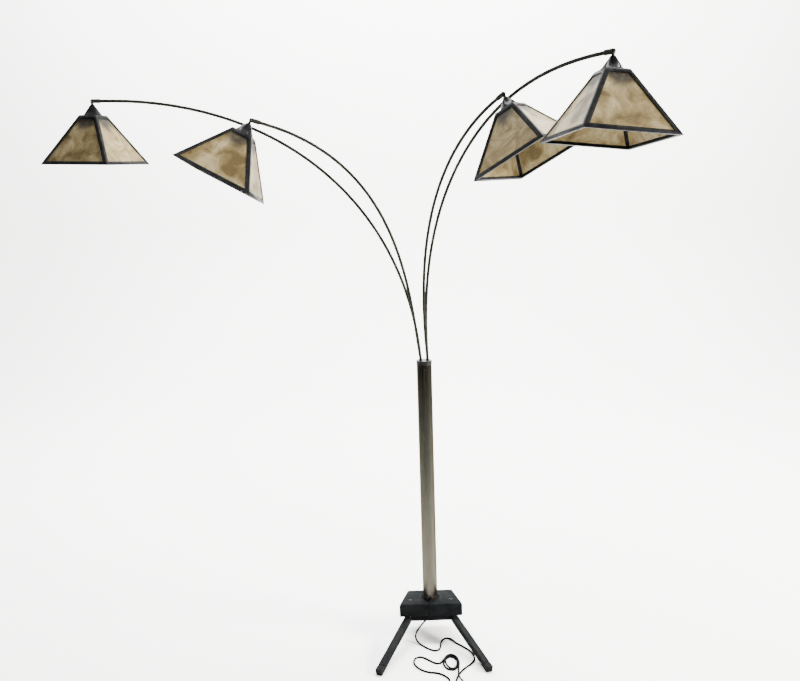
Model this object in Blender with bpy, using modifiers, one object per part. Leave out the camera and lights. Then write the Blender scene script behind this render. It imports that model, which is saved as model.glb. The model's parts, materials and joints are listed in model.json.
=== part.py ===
"""A four-armed arc floor lamp: heavy tripod base, round post, four thin arched arms that swivel in
the post's cap, and a pyramid shade of framed mica panels under each arm's end.

Metres, +Z up. The lamp stands on z = 0. The post's axis is vertical at POST.
"""
import math

import bmesh
import bpy
from mathutils import Matrix, Vector

# ---- driving dimensions -------------------------------------------------------------------------
POST = Vector((0.3146, 0.2944, 0.0))  # foot of the post's axis, from the centre of the lamp's footprint
GAP = 0.0003  # between pieces that touch

BLOCK_TOP = 0.131
BLOCK_THICK = 0.047
BLOCK_FRONT = -0.052  # y of the front and back faces, from the post's axis
BLOCK_BACK = 0.053
BLOCK_FRONT_HALF = 0.111
BLOCK_BACK_HALF = 0.080
BLOCK_EDGE = 0.005
BORE_RADIUS = 0.029
BORE_DEPTH = 0.033
BOLT_X = 0.0715
BOLT_Y = -0.014
BOLT_HEAD_RADIUS = 0.006
COUNTERBORE = 0.0075
COUNTERBORE_DEPTH = 0.009
BOLT_SINK = 0.001  # from the block's top down to the bolt head
BOLT_HEAD_TALL = 0.0075
BOLT_SHANK = 0.004
BOLT_HOLE = 0.0046
BOLT_END = 0.085
HEX_SOCKET = 0.003

HUB_HALF = 0.071
HUB_FRONT = -0.048
HUB_BACK = 0.045
HUB_BOTTOM = 0.066
HUB_EDGE = 0.002
HUB_BOLT_X = 0.0658  # the bolts' holes in the hub, a little inside the block's
HUB_BOLT_FLOOR = 0.0735

LEG_SIDE = 0.022
LEG_EDGE = 0.0015
TIP_SIDE = 0.0236
TIP_LONG = 0.024
TIP_EDGE = 0.004
TIP_HEIGHT = 0.0117  # of a rubber tip's middle; its lowest corner is cut flat on the floor
FRONT_FOOT = (0.177, -0.250)
FRONT_LEG_TOP = Vector((0.0705, -0.023, 0.0803))
REAR_FOOT = 0.27
REAR_LEG_TOP = Vector((0.0, 0.030, 0.0780))

POST_RADIUS = 0.0254
POST_WALL = 0.0016
POST_FOOT = 0.1438
POST_HEAD = 0.978
SOCKET_RADIUS = 0.0244
SPIGOT_RADIUS = 0.0234
SOCKET_INNER = 0.019
SOCKET_FLOOR = 0.006
SPIGOT_TOP = 0.185
CORD_HOLE_Z = 0.1372
CORD_HOLE_RADIUS = 0.0052
TIE_RADIUS = 0.005
TIE_HOLE = 0.0055
TIE_TOP = 0.1195
TIE_HEAD = 0.0098
TIE_HEAD_TALL = 0.0064
TIE_NUT_TALL = 0.008
GASKET_SINK = 0.004  # from the block's top down to the gasket
GROMMET_FLANGE = 0.0061
GROMMET_FACE = 0.0256  # distances from the post's axis
GROMMET_SEAT = 0.0247
GROMMET_INSIDE = 0.0180

CAP_RADIUS = 0.0264
CAP_TOP = 0.9915
CAP_BOTTOM = 0.940
ARM_SEAT = 0.946  # height where the arms' lower ends rest in the cap
ARM_HOLE = 0.0116  # half the spacing of the four arm holes
SET_SCREW_Z = 0.963
SET_SCREW_RADIUS = 0.0017
SET_SCREW_INSIDE = 0.0170
SET_SCREW_FACE = 0.0250
CAP_EDGE = 0.002
WIRE_HOLE = 0.0034

ARM_RADIUS = 0.0048
ARM_WALL = 0.0010
ARM_START = 1.000  # height where the arms begin to curve
ARM_POINTS = 18
ARM_CLEAR = 0.0004  # round an arm in its holes
SLEEVE_RADIUS = 0.0065
SLEEVE_LONG = 0.027  # from the knuckle's pin back along the arm
SLEEVE_NOSE = 0.0055  # from the knuckle's pin to the rounded end
ARM_END = 0.0115  # the arm's end stops this far short of the knuckle's pin
SLOT_WIDE = 0.0046
SLOT_BACK = 0.0090
SLOT_ROOF = 0.0042
TONGUE_THICK = 0.0040
TONGUE_WIDE = 0.0070
PIN_RADIUS = 0.0015
PIN_HALF_LONG = 0.0060

CUP_TOP = -0.011  # heights on a shade's own axis, from the knuckle's pin
CUP_TOP_RADIUS = 0.007
CUP_RIM_RADIUS = 0.028
CUP_WALL = 0.0012
SHADE_TOP = -0.0435
SHADE_TALL = 0.153
SHADE_BOTTOM_HALF = 0.119
SHADE_TOP_HALF = 0.030
FRAME_THICK = 0.0015
FRAME_STRIP = 0.0120  # width of a corner strip on each face
RIM_STRIP = 0.0105
TOP_STRIP = 0.0120
RIM_LIP = 0.0095
RING_RADIUS = 0.0255
RING_TALL = 0.0065
RING_EDGE = 0.002
PANEL_THICK = 0.0012
SOCKET_SHELL_RADIUS = 0.017
SOCKET_SHELL_END = -0.081
SOCKET_NECK_RADIUS = 0.0065
SOCKET_NECK_TOP = -0.0165
SOCKET_SHOULDER = -0.0360
SOCKET_MOUTH_RADIUS = 0.0142
SOCKET_MOUTH_FLOOR = -0.0560
SOCKET_CLEAR = 0.0006  # round the lamp holder in its ring; twice that in the shade's top
BULB_RADIUS = 0.025
BULB_CENTRE = -0.125
BULB_WALL = 0.001
BULB_NECK = [(0.0130, -0.0570), (0.0130, -0.0840), (0.0145, -0.0960)]

# Each arm: its hole in the cap, swivel azimuth, reach and height of the knuckle's pin, the slope and
# lean of its two ends, the two handle lengths of its curve and its sideways sway, then the shade's
# roll, outward tilt and turn.
ARMS = {
    1: dict(hole=(-1, 1), azimuth=180.1, reach=1.023, height=1.8635, slope=0.7, lean=4.6,
            handles=(0.505, 0.582), sway=0.0, roll=-3.0, tilt=1.4, turn=75.2),
    2: dict(hole=(-1, -1), azimuth=204.85, reach=0.5255, height=1.7645, slope=14.7, lean=9.0,
            handles=(0.220, 0.458), sway=0.0, roll=-6.7, tilt=14.5, turn=63.2),
    3: dict(hole=(1, -1), azimuth=300.05, reach=0.424, height=1.797, slope=19.6, lean=-9.0,
            handles=(0.540, 0.184), sway=0.0, roll=9.3, tilt=4.1, turn=17.5),
    4: dict(hole=(1, 1), azimuth=299.95, reach=0.8375, height=1.841, slope=-1.2, lean=-4.2,
            handles=(0.752, 0.343), sway=0.03, roll=-6.0, tilt=3.6, turn=72.3),
}

CORD_RADIUS = 0.003
FLOOR_Z = 0.0032  # height of the cord's middle where it lies on the floor
# The cord's free stretches, from the foot of the post's axis: (x, y) where it lies on the floor, and
# (x, y, z) where it doesn't. The first runs from the post's foot to the oval loop.
CORD_ROUTE = [
    (0.000, -0.0205, 0.1372), (0.000, -0.034, 0.1372), (0.000, -0.046, 0.1364),
    (-0.001, -0.0580, 0.1300), (-0.002, -0.0635, 0.1170), (-0.005, -0.0650, 0.1000),
    (-0.014, -0.0650, 0.0850), (-0.028, -0.0655, 0.0700), (-0.042, -0.0660, 0.0530),
    (-0.053, -0.0660, 0.0350), (-0.0565, -0.0700, 0.0180), (-0.0500, -0.0790, 0.0065),
    (-0.0370, -0.0950), (-0.0150, -0.1170), (0.0060, -0.1310), (0.0220, -0.1260),
    (0.0285, -0.1050), (0.0320, -0.0790), (0.0460, -0.0590), (0.0660, -0.0620),
    (0.0830, -0.0870), (0.1100, -0.1160), (0.1280, -0.1400), (0.1370, -0.1660),
    (0.1370, -0.1910), (0.1220, -0.2160), (0.1030, -0.2370), (0.0860, -0.2600),
    (0.0740, -0.2860), (0.0660, -0.3150), (0.0660, -0.3440), (0.0800, -0.3640),
    (0.1010, -0.3600), (0.1060, -0.3390, 0.0036), (0.0920, -0.3160, 0.0062),
    (0.0810, -0.2960, 0.0090), (0.0780, -0.2780, 0.0098), (0.0790, -0.2580, 0.0096),
    (0.0812, -0.2400, 0.0094),
]
LOOP_CENTRE = (0.059, -0.204)
LOOP_HALF = (0.023, 0.037)  # half axes of the oval's middle line
LOOP_BAND = 0.012
LOOP_TALL = 0.0128
# From the loop to the stored coil.
TAIL_ROUTE = [
    (0.0262, -0.2000), (0.0150, -0.2070), (0.0030, -0.2020), (-0.0120, -0.1890),
    (-0.0270, -0.1750), (-0.0440, -0.1670), (-0.0600, -0.1760), (-0.0650, -0.1950),
    (-0.0600, -0.2160), (-0.0470, -0.2340), (-0.0300, -0.2480), (-0.0100, -0.2560),
    (0.0100, -0.2600), (0.0280, -0.2710), (0.0430, -0.2880), (0.0480, -0.3090, 0.0036),
    (0.0390, -0.3290, 0.0055), (0.0170, -0.3400, 0.0080), (-0.0065, -0.3410, 0.0093),
]
COIL_CENTRE = (-0.035, -0.375)
COIL_INNER = 0.024
COIL_OUTER = 0.042
COIL_TALL = 0.0128
# From the coil to the plug.
END_ROUTE = [
    (-0.0660, -0.3416, 0.0036), (-0.0765, -0.3400, 0.0055), (-0.0865, -0.3400, 0.0080),
    (-0.0960, -0.3400, 0.0088),
]
CORD_SPACING = 0.0165  # between the points of a cord's line
PLUG_AT = (-0.0966, -0.3400, 0.0088)
PLUG_TALL = 0.017
PLUG_WIDE = 0.024
PLUG_EDGE = 0.003
PLUG_BODY = (-0.050, -0.022)  # lengths along the plug, from where the cord enters it
PLUG_TAPER_LONG = 0.024
PLUG_TAPER = (0.0042, 0.0080)
BLADE_END = -0.067
BLADE_APART = 0.0127
BLADE_THICK = 0.0015
BLADE_WIDE = 0.0064

# ---- scene, materials and small helpers ---------------------------------------------------------
for old in list(bpy.data.objects):
    bpy.data.objects.remove(old, do_unlink=True)

lamp = bpy.data.collections.new("arc_floor_lamp")
cutters = bpy.data.collections.new("cutters")
for made in (lamp, cutters):
    bpy.context.scene.collection.children.link(made)

FINISHES = {
    "cast_black": ((0.020, 0.024, 0.026), 0.55, 0.3),
    "bar_black": ((0.030, 0.032, 0.034), 0.45, 0.5),
    "rubber_black": ((0.012, 0.012, 0.013), 0.85, 0.0),
    "bolt_black": ((0.015, 0.015, 0.017), 0.35, 0.8),
    "steel": ((0.30, 0.29, 0.25), 0.32, 1.0),
    "steel_dark": ((0.11, 0.11, 0.10), 0.40, 1.0),
    "arm_bronze": ((0.050, 0.050, 0.043), 0.35, 0.8),
    "cup_black": ((0.020, 0.020, 0.024), 0.15, 0.6),
    "frame_bronze": ((0.022, 0.026, 0.030), 0.40, 0.6),
    "mica": ((0.52, 0.44, 0.30), 0.45, 0.0),
    "bakelite": ((0.015, 0.014, 0.013), 0.30, 0.0),
    "bulb_glass": ((0.85, 0.84, 0.80), 0.15, 0.0),
    "cord_black": ((0.010, 0.010, 0.010), 0.60, 0.0),
}


def finish(name):
    """A Principled material of its own for one object."""
    colour, roughness, metallic = FINISHES[name]
    made = bpy.data.materials.new(name)
    made.use_nodes = True
    shader = made.node_tree.nodes["Principled BSDF"]
    shader.inputs["Base Color"].default_value = (*colour, 1.0)
    shader.inputs["Roughness"].default_value = roughness
    shader.inputs["Metallic"].default_value = metallic
    return made


def place(made, matrix=None, parent=None):
    """Puts an object at a matrix in its parent's frame."""
    if parent is not None:
        made.parent = parent
    made.matrix_local = matrix if matrix is not None else Matrix.Identity(4)
    return made


def part(name, mesh, look, matrix=None, parent=None, collection=lamp):
    """One named object with its material."""
    made = bpy.data.objects.new(name, mesh)
    collection.objects.link(made)
    if look is not None:
        mesh.materials.append(finish(look))
    return place(made, matrix, parent)


def empty(name, matrix, parent=None):
    """A pivot that pieces hang on."""
    made = bpy.data.objects.new(name, None)
    lamp.objects.link(made)
    return place(made, matrix, parent)


def mesh_of(name, shape):
    """A mesh from a bmesh, which is freed."""
    mesh = bpy.data.meshes.new(name)
    shape.to_mesh(mesh)
    shape.free()
    return mesh


def box_mesh(name, low, high):
    """A box between two corners."""
    shape = bmesh.new()
    bmesh.ops.create_cube(shape, size=1.0)
    low, high = Vector(low), Vector(high)
    bmesh.ops.scale(shape, vec=high - low, verts=shape.verts)
    bmesh.ops.translate(shape, vec=(low + high) / 2, verts=shape.verts)
    return mesh_of(name, shape)


def rod_mesh(name, radius, low, high, sides=24):
    """A cylinder on the Z axis between two heights."""
    shape = bmesh.new()
    bmesh.ops.create_cone(shape, cap_ends=True, segments=sides, radius1=radius, radius2=radius,
                          depth=high - low)
    bmesh.ops.translate(shape, vec=(0, 0, (low + high) / 2), verts=shape.verts)
    return mesh_of(name, shape)


def bevel(made, width, segments=2, angle=40):
    """Rounds an object's sharp edges."""
    step = made.modifiers.new("edges", "BEVEL")
    step.width = width
    step.segments = segments
    step.limit_method = "ANGLE"
    step.angle_limit = math.radians(angle)
    return made


def boolean(made, other, operation):
    """Cuts or joins with another object, which is then only a guide."""
    step = made.modifiers.new(operation.lower(), "BOOLEAN")
    step.operation = operation
    step.solver = "EXACT"
    step.object = other
    return made


def guide(name, mesh, matrix=None, parent=None):
    """A cutter or a shape to join, which isn't a piece of the lamp."""
    made = part(name, mesh, None, matrix, parent, cutters)
    made.hide_render = True
    made.display_type = "WIRE"
    return made


def cut(made, name, mesh, matrix=None, parent=None):
    return boolean(made, guide(name + "_cutter", mesh, matrix, parent), "DIFFERENCE")


def join(made, name, mesh, matrix=None, parent=None):
    return boolean(made, guide(name + "_join", mesh, matrix, parent), "UNION")


def turned(name, profile, look, matrix=None, parent=None, steps=32, closed=True):
    """A piece turned about Z from (radius, height) points that run down its outer side."""
    mesh = bpy.data.meshes.new(name)
    edges = [(i, i + 1) for i in range(len(profile) - 1)]
    if closed:
        edges.append((len(profile) - 1, 0))
    mesh.from_pydata([(radius, 0.0, height) for radius, height in profile], edges, [])
    made = part(name, mesh, look, matrix, parent)
    step = made.modifiers.new("turn", "SCREW")
    step.steps = steps
    step.render_steps = steps
    step.use_merge_vertices = True
    step.merge_threshold = 0.00005
    step.use_smooth_shade = True
    return made


def smooth_line(points, spacing):
    """Points along a smooth curve through the given ones, about a spacing apart."""
    route = [Vector(p) for p in points]
    line = [route[0]]
    for i in range(len(route) - 1):
        before = route[max(i - 1, 0)]
        start, end = route[i], route[i + 1]
        after = route[min(i + 2, len(route) - 1)]
        count = max(1, round((end - start).length / spacing))
        for k in range(1, count + 1):
            t = k / count
            line.append(0.5 * (2 * start + (end - before) * t
                               + (2 * before - 5 * start + 4 * end - after) * t ** 2
                               + (3 * start - before - 3 * end + after) * t ** 3))
    return line


def wire(name, line, radius, look, resolution=2, capped=True, parent=None):
    """A round bar or tube along a line of points."""
    curve = bpy.data.curves.new(name, "CURVE")
    curve.dimensions = "3D"
    curve.bevel_depth = radius
    curve.bevel_resolution = resolution
    curve.use_fill_caps = capped
    spline = curve.splines.new("POLY")
    spline.points.add(len(line) - 1)
    for point, co in zip(spline.points, line):
        point.co = (*co, 1.0)
    return part(name, curve, look, None, parent)


def turn(degrees, axis):
    return Matrix.Rotation(math.radians(degrees), 4, axis)


def move(x, y, z):
    return Matrix.Translation((x, y, z))


# ---- base ---------------------------------------------------------------------------------------
stand = empty("stand", Matrix.Translation(POST))


def base_block():
    """A cast trapezoid block, bored for the post's socket and counterbored for two bolts."""
    shape = bmesh.new()
    bmesh.ops.create_cube(shape, size=1.0)
    for v in shape.verts:
        half = BLOCK_FRONT_HALF if v.co.y < 0 else BLOCK_BACK_HALF
        v.co.x = math.copysign(half, v.co.x)
        v.co.y = BLOCK_FRONT if v.co.y < 0 else BLOCK_BACK
        v.co.z = BLOCK_TOP if v.co.z > 0 else BLOCK_TOP - BLOCK_THICK
    block = bevel(part("base_block", mesh_of("base_block", shape), "cast_black", parent=stand),
                  BLOCK_EDGE, 2)
    floor_of_bore = BLOCK_TOP - BORE_DEPTH
    cut(block, "block_bore", rod_mesh("block_bore", BORE_RADIUS, floor_of_bore, 0.2, 32), parent=stand)
    cut(block, "block_tie", rod_mesh("block_tie", TIE_HOLE, 0.05, 0.11, 12), parent=stand)
    for side in (-1, 1):
        at = move(side * BOLT_X, BOLT_Y, 0)
        cut(block, "head", rod_mesh("head", COUNTERBORE, BLOCK_TOP - COUNTERBORE_DEPTH, 0.2, 16), at,
            stand)
        cut(block, "shank", rod_mesh("shank", BOLT_HOLE, 0.05, BLOCK_TOP - 0.005, 12), at, stand)


def leg_hub():
    """The lower block that the legs butt against."""
    top = BLOCK_TOP - BLOCK_THICK - GAP
    hub = part("leg_hub", box_mesh("leg_hub", (-HUB_HALF, HUB_FRONT, HUB_BOTTOM),
                                   (HUB_HALF, HUB_BACK, top)), "cast_black", parent=stand)
    bevel(hub, HUB_EDGE, 2)
    cut(hub, "hub_tie", rod_mesh("hub_tie", TIE_HOLE, 0.05, 0.11, 12), parent=stand)
    for side in (-1, 1):
        cut(hub, "hub_bolt", rod_mesh("hub_bolt", BOLT_HOLE, HUB_BOLT_FLOOR, 0.12, 12),
            move(side * HUB_BOLT_X, BOLT_Y, 0), stand)


def leg(name, top, foot):
    """A square bar from under the block down to its rubber tip."""
    foot = Vector((*foot, TIP_HEIGHT))
    along = (top - foot).normalized()
    across = along.cross(Vector((0, 0, 1))).normalized()
    frame = Matrix((along, across, along.cross(across))).transposed().to_4x4()
    frame.translation = foot
    half, long = LEG_SIDE / 2, (top - foot).length
    start = TIP_LONG / 2 + GAP
    bar = part(f"{name}_leg", box_mesh(name, (start, -half, -half), (long, half, half)), "bar_black",
               frame, stand)
    bevel(bar, LEG_EDGE, 1)
    under = BLOCK_TOP - BLOCK_THICK - GAP
    cut(bar, f"{name}_over", box_mesh("over", (-0.3, -0.3, under), (0.3, 0.3, 0.2)), parent=stand)
    cut(bar, f"{name}_hub", box_mesh("hub", (-HUB_HALF - GAP, HUB_FRONT - GAP, HUB_BOTTOM - 0.03),
                                     (HUB_HALF + GAP, HUB_BACK + GAP, 0.15)), parent=stand)
    side = TIP_SIDE / 2
    tip = part(f"{name}_leg_tip", box_mesh("tip", (-TIP_LONG / 2, -side, -side),
                                           (TIP_LONG / 2, side, side)), "rubber_black", frame, stand)
    bevel(tip, TIP_EDGE, 3)
    cut(tip, f"{name}_floor", box_mesh("floor", (-0.4, -0.4, -0.1), (0.4, 0.4, 0)), parent=stand)


def base_bolt(side, name):
    """A socket-head bolt sunk in the block."""
    top = BLOCK_TOP - BOLT_SINK
    under = top - BOLT_HEAD_TALL
    profile = [(0, top), (BOLT_HEAD_RADIUS, top), (BOLT_HEAD_RADIUS, under), (BOLT_SHANK, under),
               (BOLT_SHANK, BOLT_END), (0, BOLT_END)]
    at = move(side * BOLT_X, BOLT_Y, 0)
    bolt = turned(name, profile, "bolt_black", at, stand, 16, False)
    cut(bolt, name, rod_mesh("hex", HEX_SOCKET, top - BOLT_HEAD_TALL / 2, top + 0.01, 6), at, stand)


base_block()
leg_hub()
for mirror, side_name in ((-1, "front_left"), (1, "front_right")):
    leg(side_name, Vector((mirror * FRONT_LEG_TOP.x, *FRONT_LEG_TOP.yz)),
        (mirror * FRONT_FOOT[0], FRONT_FOOT[1]))
leg("rear", REAR_LEG_TOP, (0.0, REAR_FOOT))
base_bolt(-1, "base_bolt_left")
base_bolt(1, "base_bolt_right")

# ---- post ---------------------------------------------------------------------------------------
BORE_FLOOR = BLOCK_TOP - BORE_DEPTH


def post_socket():
    """The turned socket in the block: a ring, the spigot inside the post, and a floor."""
    low = BORE_FLOOR + GAP
    shoulder = POST_FOOT - GAP
    profile = [(SPIGOT_RADIUS, SPIGOT_TOP), (SPIGOT_RADIUS, shoulder), (SOCKET_RADIUS, shoulder),
               (SOCKET_RADIUS, low), (TIE_HOLE, low), (TIE_HOLE, low + SOCKET_FLOOR),
               (SOCKET_INNER, low + SOCKET_FLOOR), (SOCKET_INNER, SPIGOT_TOP)]
    socket = turned("post_socket", profile, "steel_dark", parent=stand, steps=28)
    cut(socket, "cord_hole", rod_mesh("cord_hole", CORD_HOLE_RADIUS, 0.01, 0.04, 16),
        move(0, 0, CORD_HOLE_Z) @ turn(90, "X"), stand)


def tie_bolt():
    """The bolt that draws the post's socket down onto the hub, and its nut inside the socket."""
    under = HUB_BOTTOM - GAP
    bolt = part("tie_bolt", rod_mesh("tie_bolt", TIE_RADIUS, under - TIE_HEAD_TALL / 2, TIE_TOP, 12),
                "bolt_black", parent=stand)
    join(bolt, "tie_head", rod_mesh("tie_head", TIE_HEAD, under - TIE_HEAD_TALL, under, 6),
         parent=stand)
    low = BORE_FLOOR + SOCKET_FLOOR + 2 * GAP
    nut = part("tie_nut", rod_mesh("tie_nut", TIE_HEAD, low, low + TIE_NUT_TALL, 6), "bolt_black",
               parent=stand)
    cut(nut, "tie_nut", rod_mesh("tie_nut_hole", TIE_HOLE, low - 0.01, low + 0.02, 12), parent=stand)


def post_tube():
    """The steel post, with a hole for the cap's set screw."""
    inner = POST_RADIUS - POST_WALL
    profile = [(POST_RADIUS, POST_HEAD), (POST_RADIUS, POST_FOOT), (inner, POST_FOOT),
               (inner, POST_HEAD)]
    tube = turned("post_tube", profile, "steel", parent=stand, steps=28)
    cut(tube, "screw_hole", rod_mesh("screw_hole", SET_SCREW_RADIUS + GAP, 0.02, 0.03, 12),
        move(0, 0, SET_SCREW_Z) @ turn(90, "X"), stand)


def post_cap():
    """The black cap, plugged into the post, with four arm holes that end on a ledge."""
    neck = POST_HEAD + GAP
    profile = [(0, CAP_TOP), (CAP_RADIUS - CAP_EDGE, CAP_TOP), (CAP_RADIUS, CAP_TOP - CAP_EDGE),
               (CAP_RADIUS, neck), (SPIGOT_RADIUS, neck), (SPIGOT_RADIUS, CAP_BOTTOM), (0, CAP_BOTTOM)]
    cap = turned("post_cap", profile, "bolt_black", parent=stand, steps=28, closed=False)
    for arm in ARMS.values():
        at = move(arm["hole"][0] * ARM_HOLE, arm["hole"][1] * ARM_HOLE, 0)
        cut(cap, "arm_hole", rod_mesh("arm_hole", ARM_RADIUS + ARM_CLEAR, ARM_SEAT, 1.1, 16), at, stand)
        cut(cap, "wire_hole", rod_mesh("wire_hole", WIRE_HOLE, 0.9, ARM_SEAT + 0.005, 8), at, stand)
    cut(cap, "cap_screw", rod_mesh("cap_screw", SET_SCREW_RADIUS + GAP, SET_SCREW_INSIDE - 0.0005, 0.03, 12),
        move(0, 0, SET_SCREW_Z) @ turn(90, "X"), stand)


post_socket()
tie_bolt()
post_tube()
post_cap()
GASKET_TOP = BLOCK_TOP - GASKET_SINK
turned("socket_gasket", [(BORE_RADIUS - GAP, GASKET_TOP), (BORE_RADIUS - GAP, BORE_FLOOR + GAP),
                         (SOCKET_RADIUS + GAP, BORE_FLOOR + GAP), (SOCKET_RADIUS + GAP, GASKET_TOP)],
       "rubber_black", parent=stand, steps=28)
turned("cord_grommet", [(GROMMET_FLANGE, GROMMET_FACE), (GROMMET_FLANGE, GROMMET_SEAT),
                        (CORD_HOLE_RADIUS - GAP, GROMMET_SEAT),
                        (CORD_HOLE_RADIUS - GAP, GROMMET_INSIDE),
                        (CORD_RADIUS + GAP, GROMMET_INSIDE), (CORD_RADIUS + GAP, GROMMET_FACE)],
       "rubber_black", move(0, 0, CORD_HOLE_Z) @ turn(90, "X"), stand, 16)
part("cap_set_screw", rod_mesh("cap_set_screw", SET_SCREW_RADIUS, SET_SCREW_INSIDE, SET_SCREW_FACE, 12),
     "bolt_black", move(0, 0, SET_SCREW_Z) @ turn(90, "X"), stand)


# ---- arms and shades ----------------------------------------------------------------------------
def arm_line(arm):
    """The arm's middle line in its swivel's frame: up from the seat, one cubic, a straight end."""
    lean, slope = math.radians(arm["lean"]), math.radians(arm["slope"])
    tip = Vector((arm["reach"], 0, arm["height"]))
    out = Vector((math.cos(slope), 0, math.sin(slope)))
    start = Vector((0, 0, ARM_START))
    end = tip - out * (SLEEVE_LONG + 0.003)
    first = start + Vector((math.sin(lean), 0, math.cos(lean))) * arm["handles"][0]
    second = end - out * arm["handles"][1]
    line = [Vector((0, 0, ARM_SEAT + GAP)), Vector((0, 0, CAP_TOP - 0.002))]
    for k in range(ARM_POINTS + 1):
        t = k / ARM_POINTS
        sideways = Vector((0, arm["sway"] * math.sin(math.pi * t) ** 2, 0))
        line.append((1 - t) ** 3 * start + 3 * (1 - t) ** 2 * t * first
                    + 3 * (1 - t) * t ** 2 * second + t ** 3 * end + sideways)
    line.append(tip - out * ARM_END)
    return line


def arm_tube(n, arm, swivel):
    """A thin bent tube, open at both ends for its wire."""
    tube = wire(f"arm_{n}", arm_line(arm), ARM_RADIUS, "arm_bronze", 2, False, swivel)
    wall = tube.modifiers.new("wall", "SOLIDIFY")
    wall.thickness = ARM_WALL
    wall.offset = -1
    return tube


def knuckle_sleeve(n, pivot):
    """The sleeve on the arm's end, with a rounded nose, a slot from below and a cross hole."""
    bore = ARM_RADIUS + ARM_CLEAR
    nose = SLEEVE_NOSE - SLEEVE_RADIUS
    profile = [(0, SLEEVE_NOSE)]
    for k in range(1, 5):
        angle = math.radians(90 - 22.5 * k)
        profile.append((SLEEVE_RADIUS * math.cos(angle), nose + SLEEVE_RADIUS * math.sin(angle)))
    profile += [(SLEEVE_RADIUS, 0.001 - SLEEVE_LONG), (SLEEVE_RADIUS - 0.0008, -SLEEVE_LONG),
                (bore, -SLEEVE_LONG), (bore, -ARM_END + GAP), (0, -ARM_END + GAP)]
    along = turn(90, "Y")
    sleeve = turned(f"knuckle_sleeve_{n}", profile, "arm_bronze", along, pivot, 12, False)
    cut(sleeve, f"slot_{n}", box_mesh("slot", (-SLOT_BACK, -SLOT_WIDE / 2, -0.02),
                                      (0.02, SLOT_WIDE / 2, SLOT_ROOF)), parent=pivot)
    cut(sleeve, f"pin_{n}", rod_mesh("pin", PIN_RADIUS + GAP, -0.02, 0.02, 8), turn(90, "X"), pivot)
    pin = rod_mesh("knuckle_pin", PIN_RADIUS, -PIN_HALF_LONG, PIN_HALF_LONG, 8)
    part(f"knuckle_pin_{n}", pin, "steel_dark", turn(90, "X"), pivot)


def cone_cup(n, pivot):
    """The polished cone over the socket, with the knuckle's tongue on top."""
    rim = SHADE_TOP + GAP
    inner_top = CUP_TOP - 0.0016
    profile = [(0, CUP_TOP), (CUP_TOP_RADIUS, CUP_TOP), (CUP_RIM_RADIUS, rim),
               (CUP_RIM_RADIUS - CUP_WALL, rim), (CUP_TOP_RADIUS - 0.0004, inner_top), (0, inner_top)]
    cup = turned(f"cone_cup_{n}", profile, "cup_black", parent=pivot, steps=20, closed=False)
    half = TONGUE_WIDE / 2
    join(cup, f"tongue_{n}", box_mesh("tongue", (-half, -TONGUE_THICK / 2, CUP_TOP - 0.0008),
                                      (half, TONGUE_THICK / 2, 0)), parent=pivot)
    join(cup, f"eye_{n}", rod_mesh("eye", half, -TONGUE_THICK / 2, TONGUE_THICK / 2, 16),
         turn(90, "X"), pivot)
    cut(cup, f"eye_hole_{n}", rod_mesh("eye_hole", PIN_RADIUS + GAP, -0.01, 0.01, 8),
        turn(90, "X"), pivot)


def socket_and_bulb(n, pivot):
    """The lamp holder, the ring that clamps the shade under the cup, and the globe bulb."""
    mouth, end = SOCKET_MOUTH_RADIUS, SOCKET_SHELL_END
    turned(f"bulb_socket_{n}", [(0, SOCKET_NECK_TOP), (SOCKET_NECK_RADIUS, SOCKET_NECK_TOP),
                                (SOCKET_SHELL_RADIUS, SOCKET_SHOULDER), (SOCKET_SHELL_RADIUS, end),
                                (mouth, end), (mouth, SOCKET_MOUTH_FLOOR), (0, SOCKET_MOUTH_FLOOR)],
           "bakelite", parent=pivot, steps=16, closed=False)
    top = SHADE_TOP - FRAME_THICK - GAP
    bottom = top - RING_TALL
    bore = SOCKET_SHELL_RADIUS + SOCKET_CLEAR
    turned(f"shade_ring_{n}", [(RING_RADIUS, top), (RING_RADIUS, bottom + RING_EDGE),
                               (RING_RADIUS - RING_EDGE, bottom), (bore, bottom), (bore, top)],
           "bolt_black", parent=pivot, steps=16)
    inner, outer = [], []
    for chain, radius, wall in ((outer, BULB_RADIUS, 0.0), (inner, BULB_RADIUS - BULB_WALL, BULB_WALL)):
        chain += [(r - wall, height) for r, height in BULB_NECK]
        for degrees in range(40, 170, 30):
            angle = math.radians(degrees)
            chain.append((radius * math.sin(angle), BULB_CENTRE + radius * math.cos(angle)))
        chain.append((0, BULB_CENTRE - radius))
    turned(f"bulb_{n}", inner[::-1] + outer, "bulb_glass", parent=pivot, steps=14, closed=False)


def frustum(name, top_half, bottom_half, top, bottom, closed_top):
    """A four-sided pyramid skin, open below and either closed or open on top."""
    shape = bmesh.new()
    bmesh.ops.create_cone(shape, cap_ends=True, segments=4, radius1=bottom_half * math.sqrt(2),
                          radius2=top_half * math.sqrt(2), depth=top - bottom)
    flat = [f for f in shape.faces if abs(f.normal.z) > 0.99]
    opened = [f for f in flat if f.normal.z < 0 or not closed_top]
    bmesh.ops.delete(shape, geom=opened, context="FACES_ONLY")
    bmesh.ops.rotate(shape, verts=shape.verts, matrix=Matrix.Rotation(math.pi / 4, 3, "Z"))
    bmesh.ops.translate(shape, vec=(0, 0, (top + bottom) / 2), verts=shape.verts)
    return mesh_of(name, shape)


def skin(made, thickness):
    """Gives an open surface its thickness, inwards."""
    step = made.modifiers.new("skin", "SOLIDIFY")
    step.thickness = thickness
    step.offset = -1
    step.use_even_offset = True
    return made


SLANT = (SHADE_BOTTOM_HALF - SHADE_TOP_HALF) / SHADE_TALL


def half_at(height):
    """Half the shade's outer width at a height on its axis."""
    return SHADE_TOP_HALF + SLANT * (SHADE_TOP - height)


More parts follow.
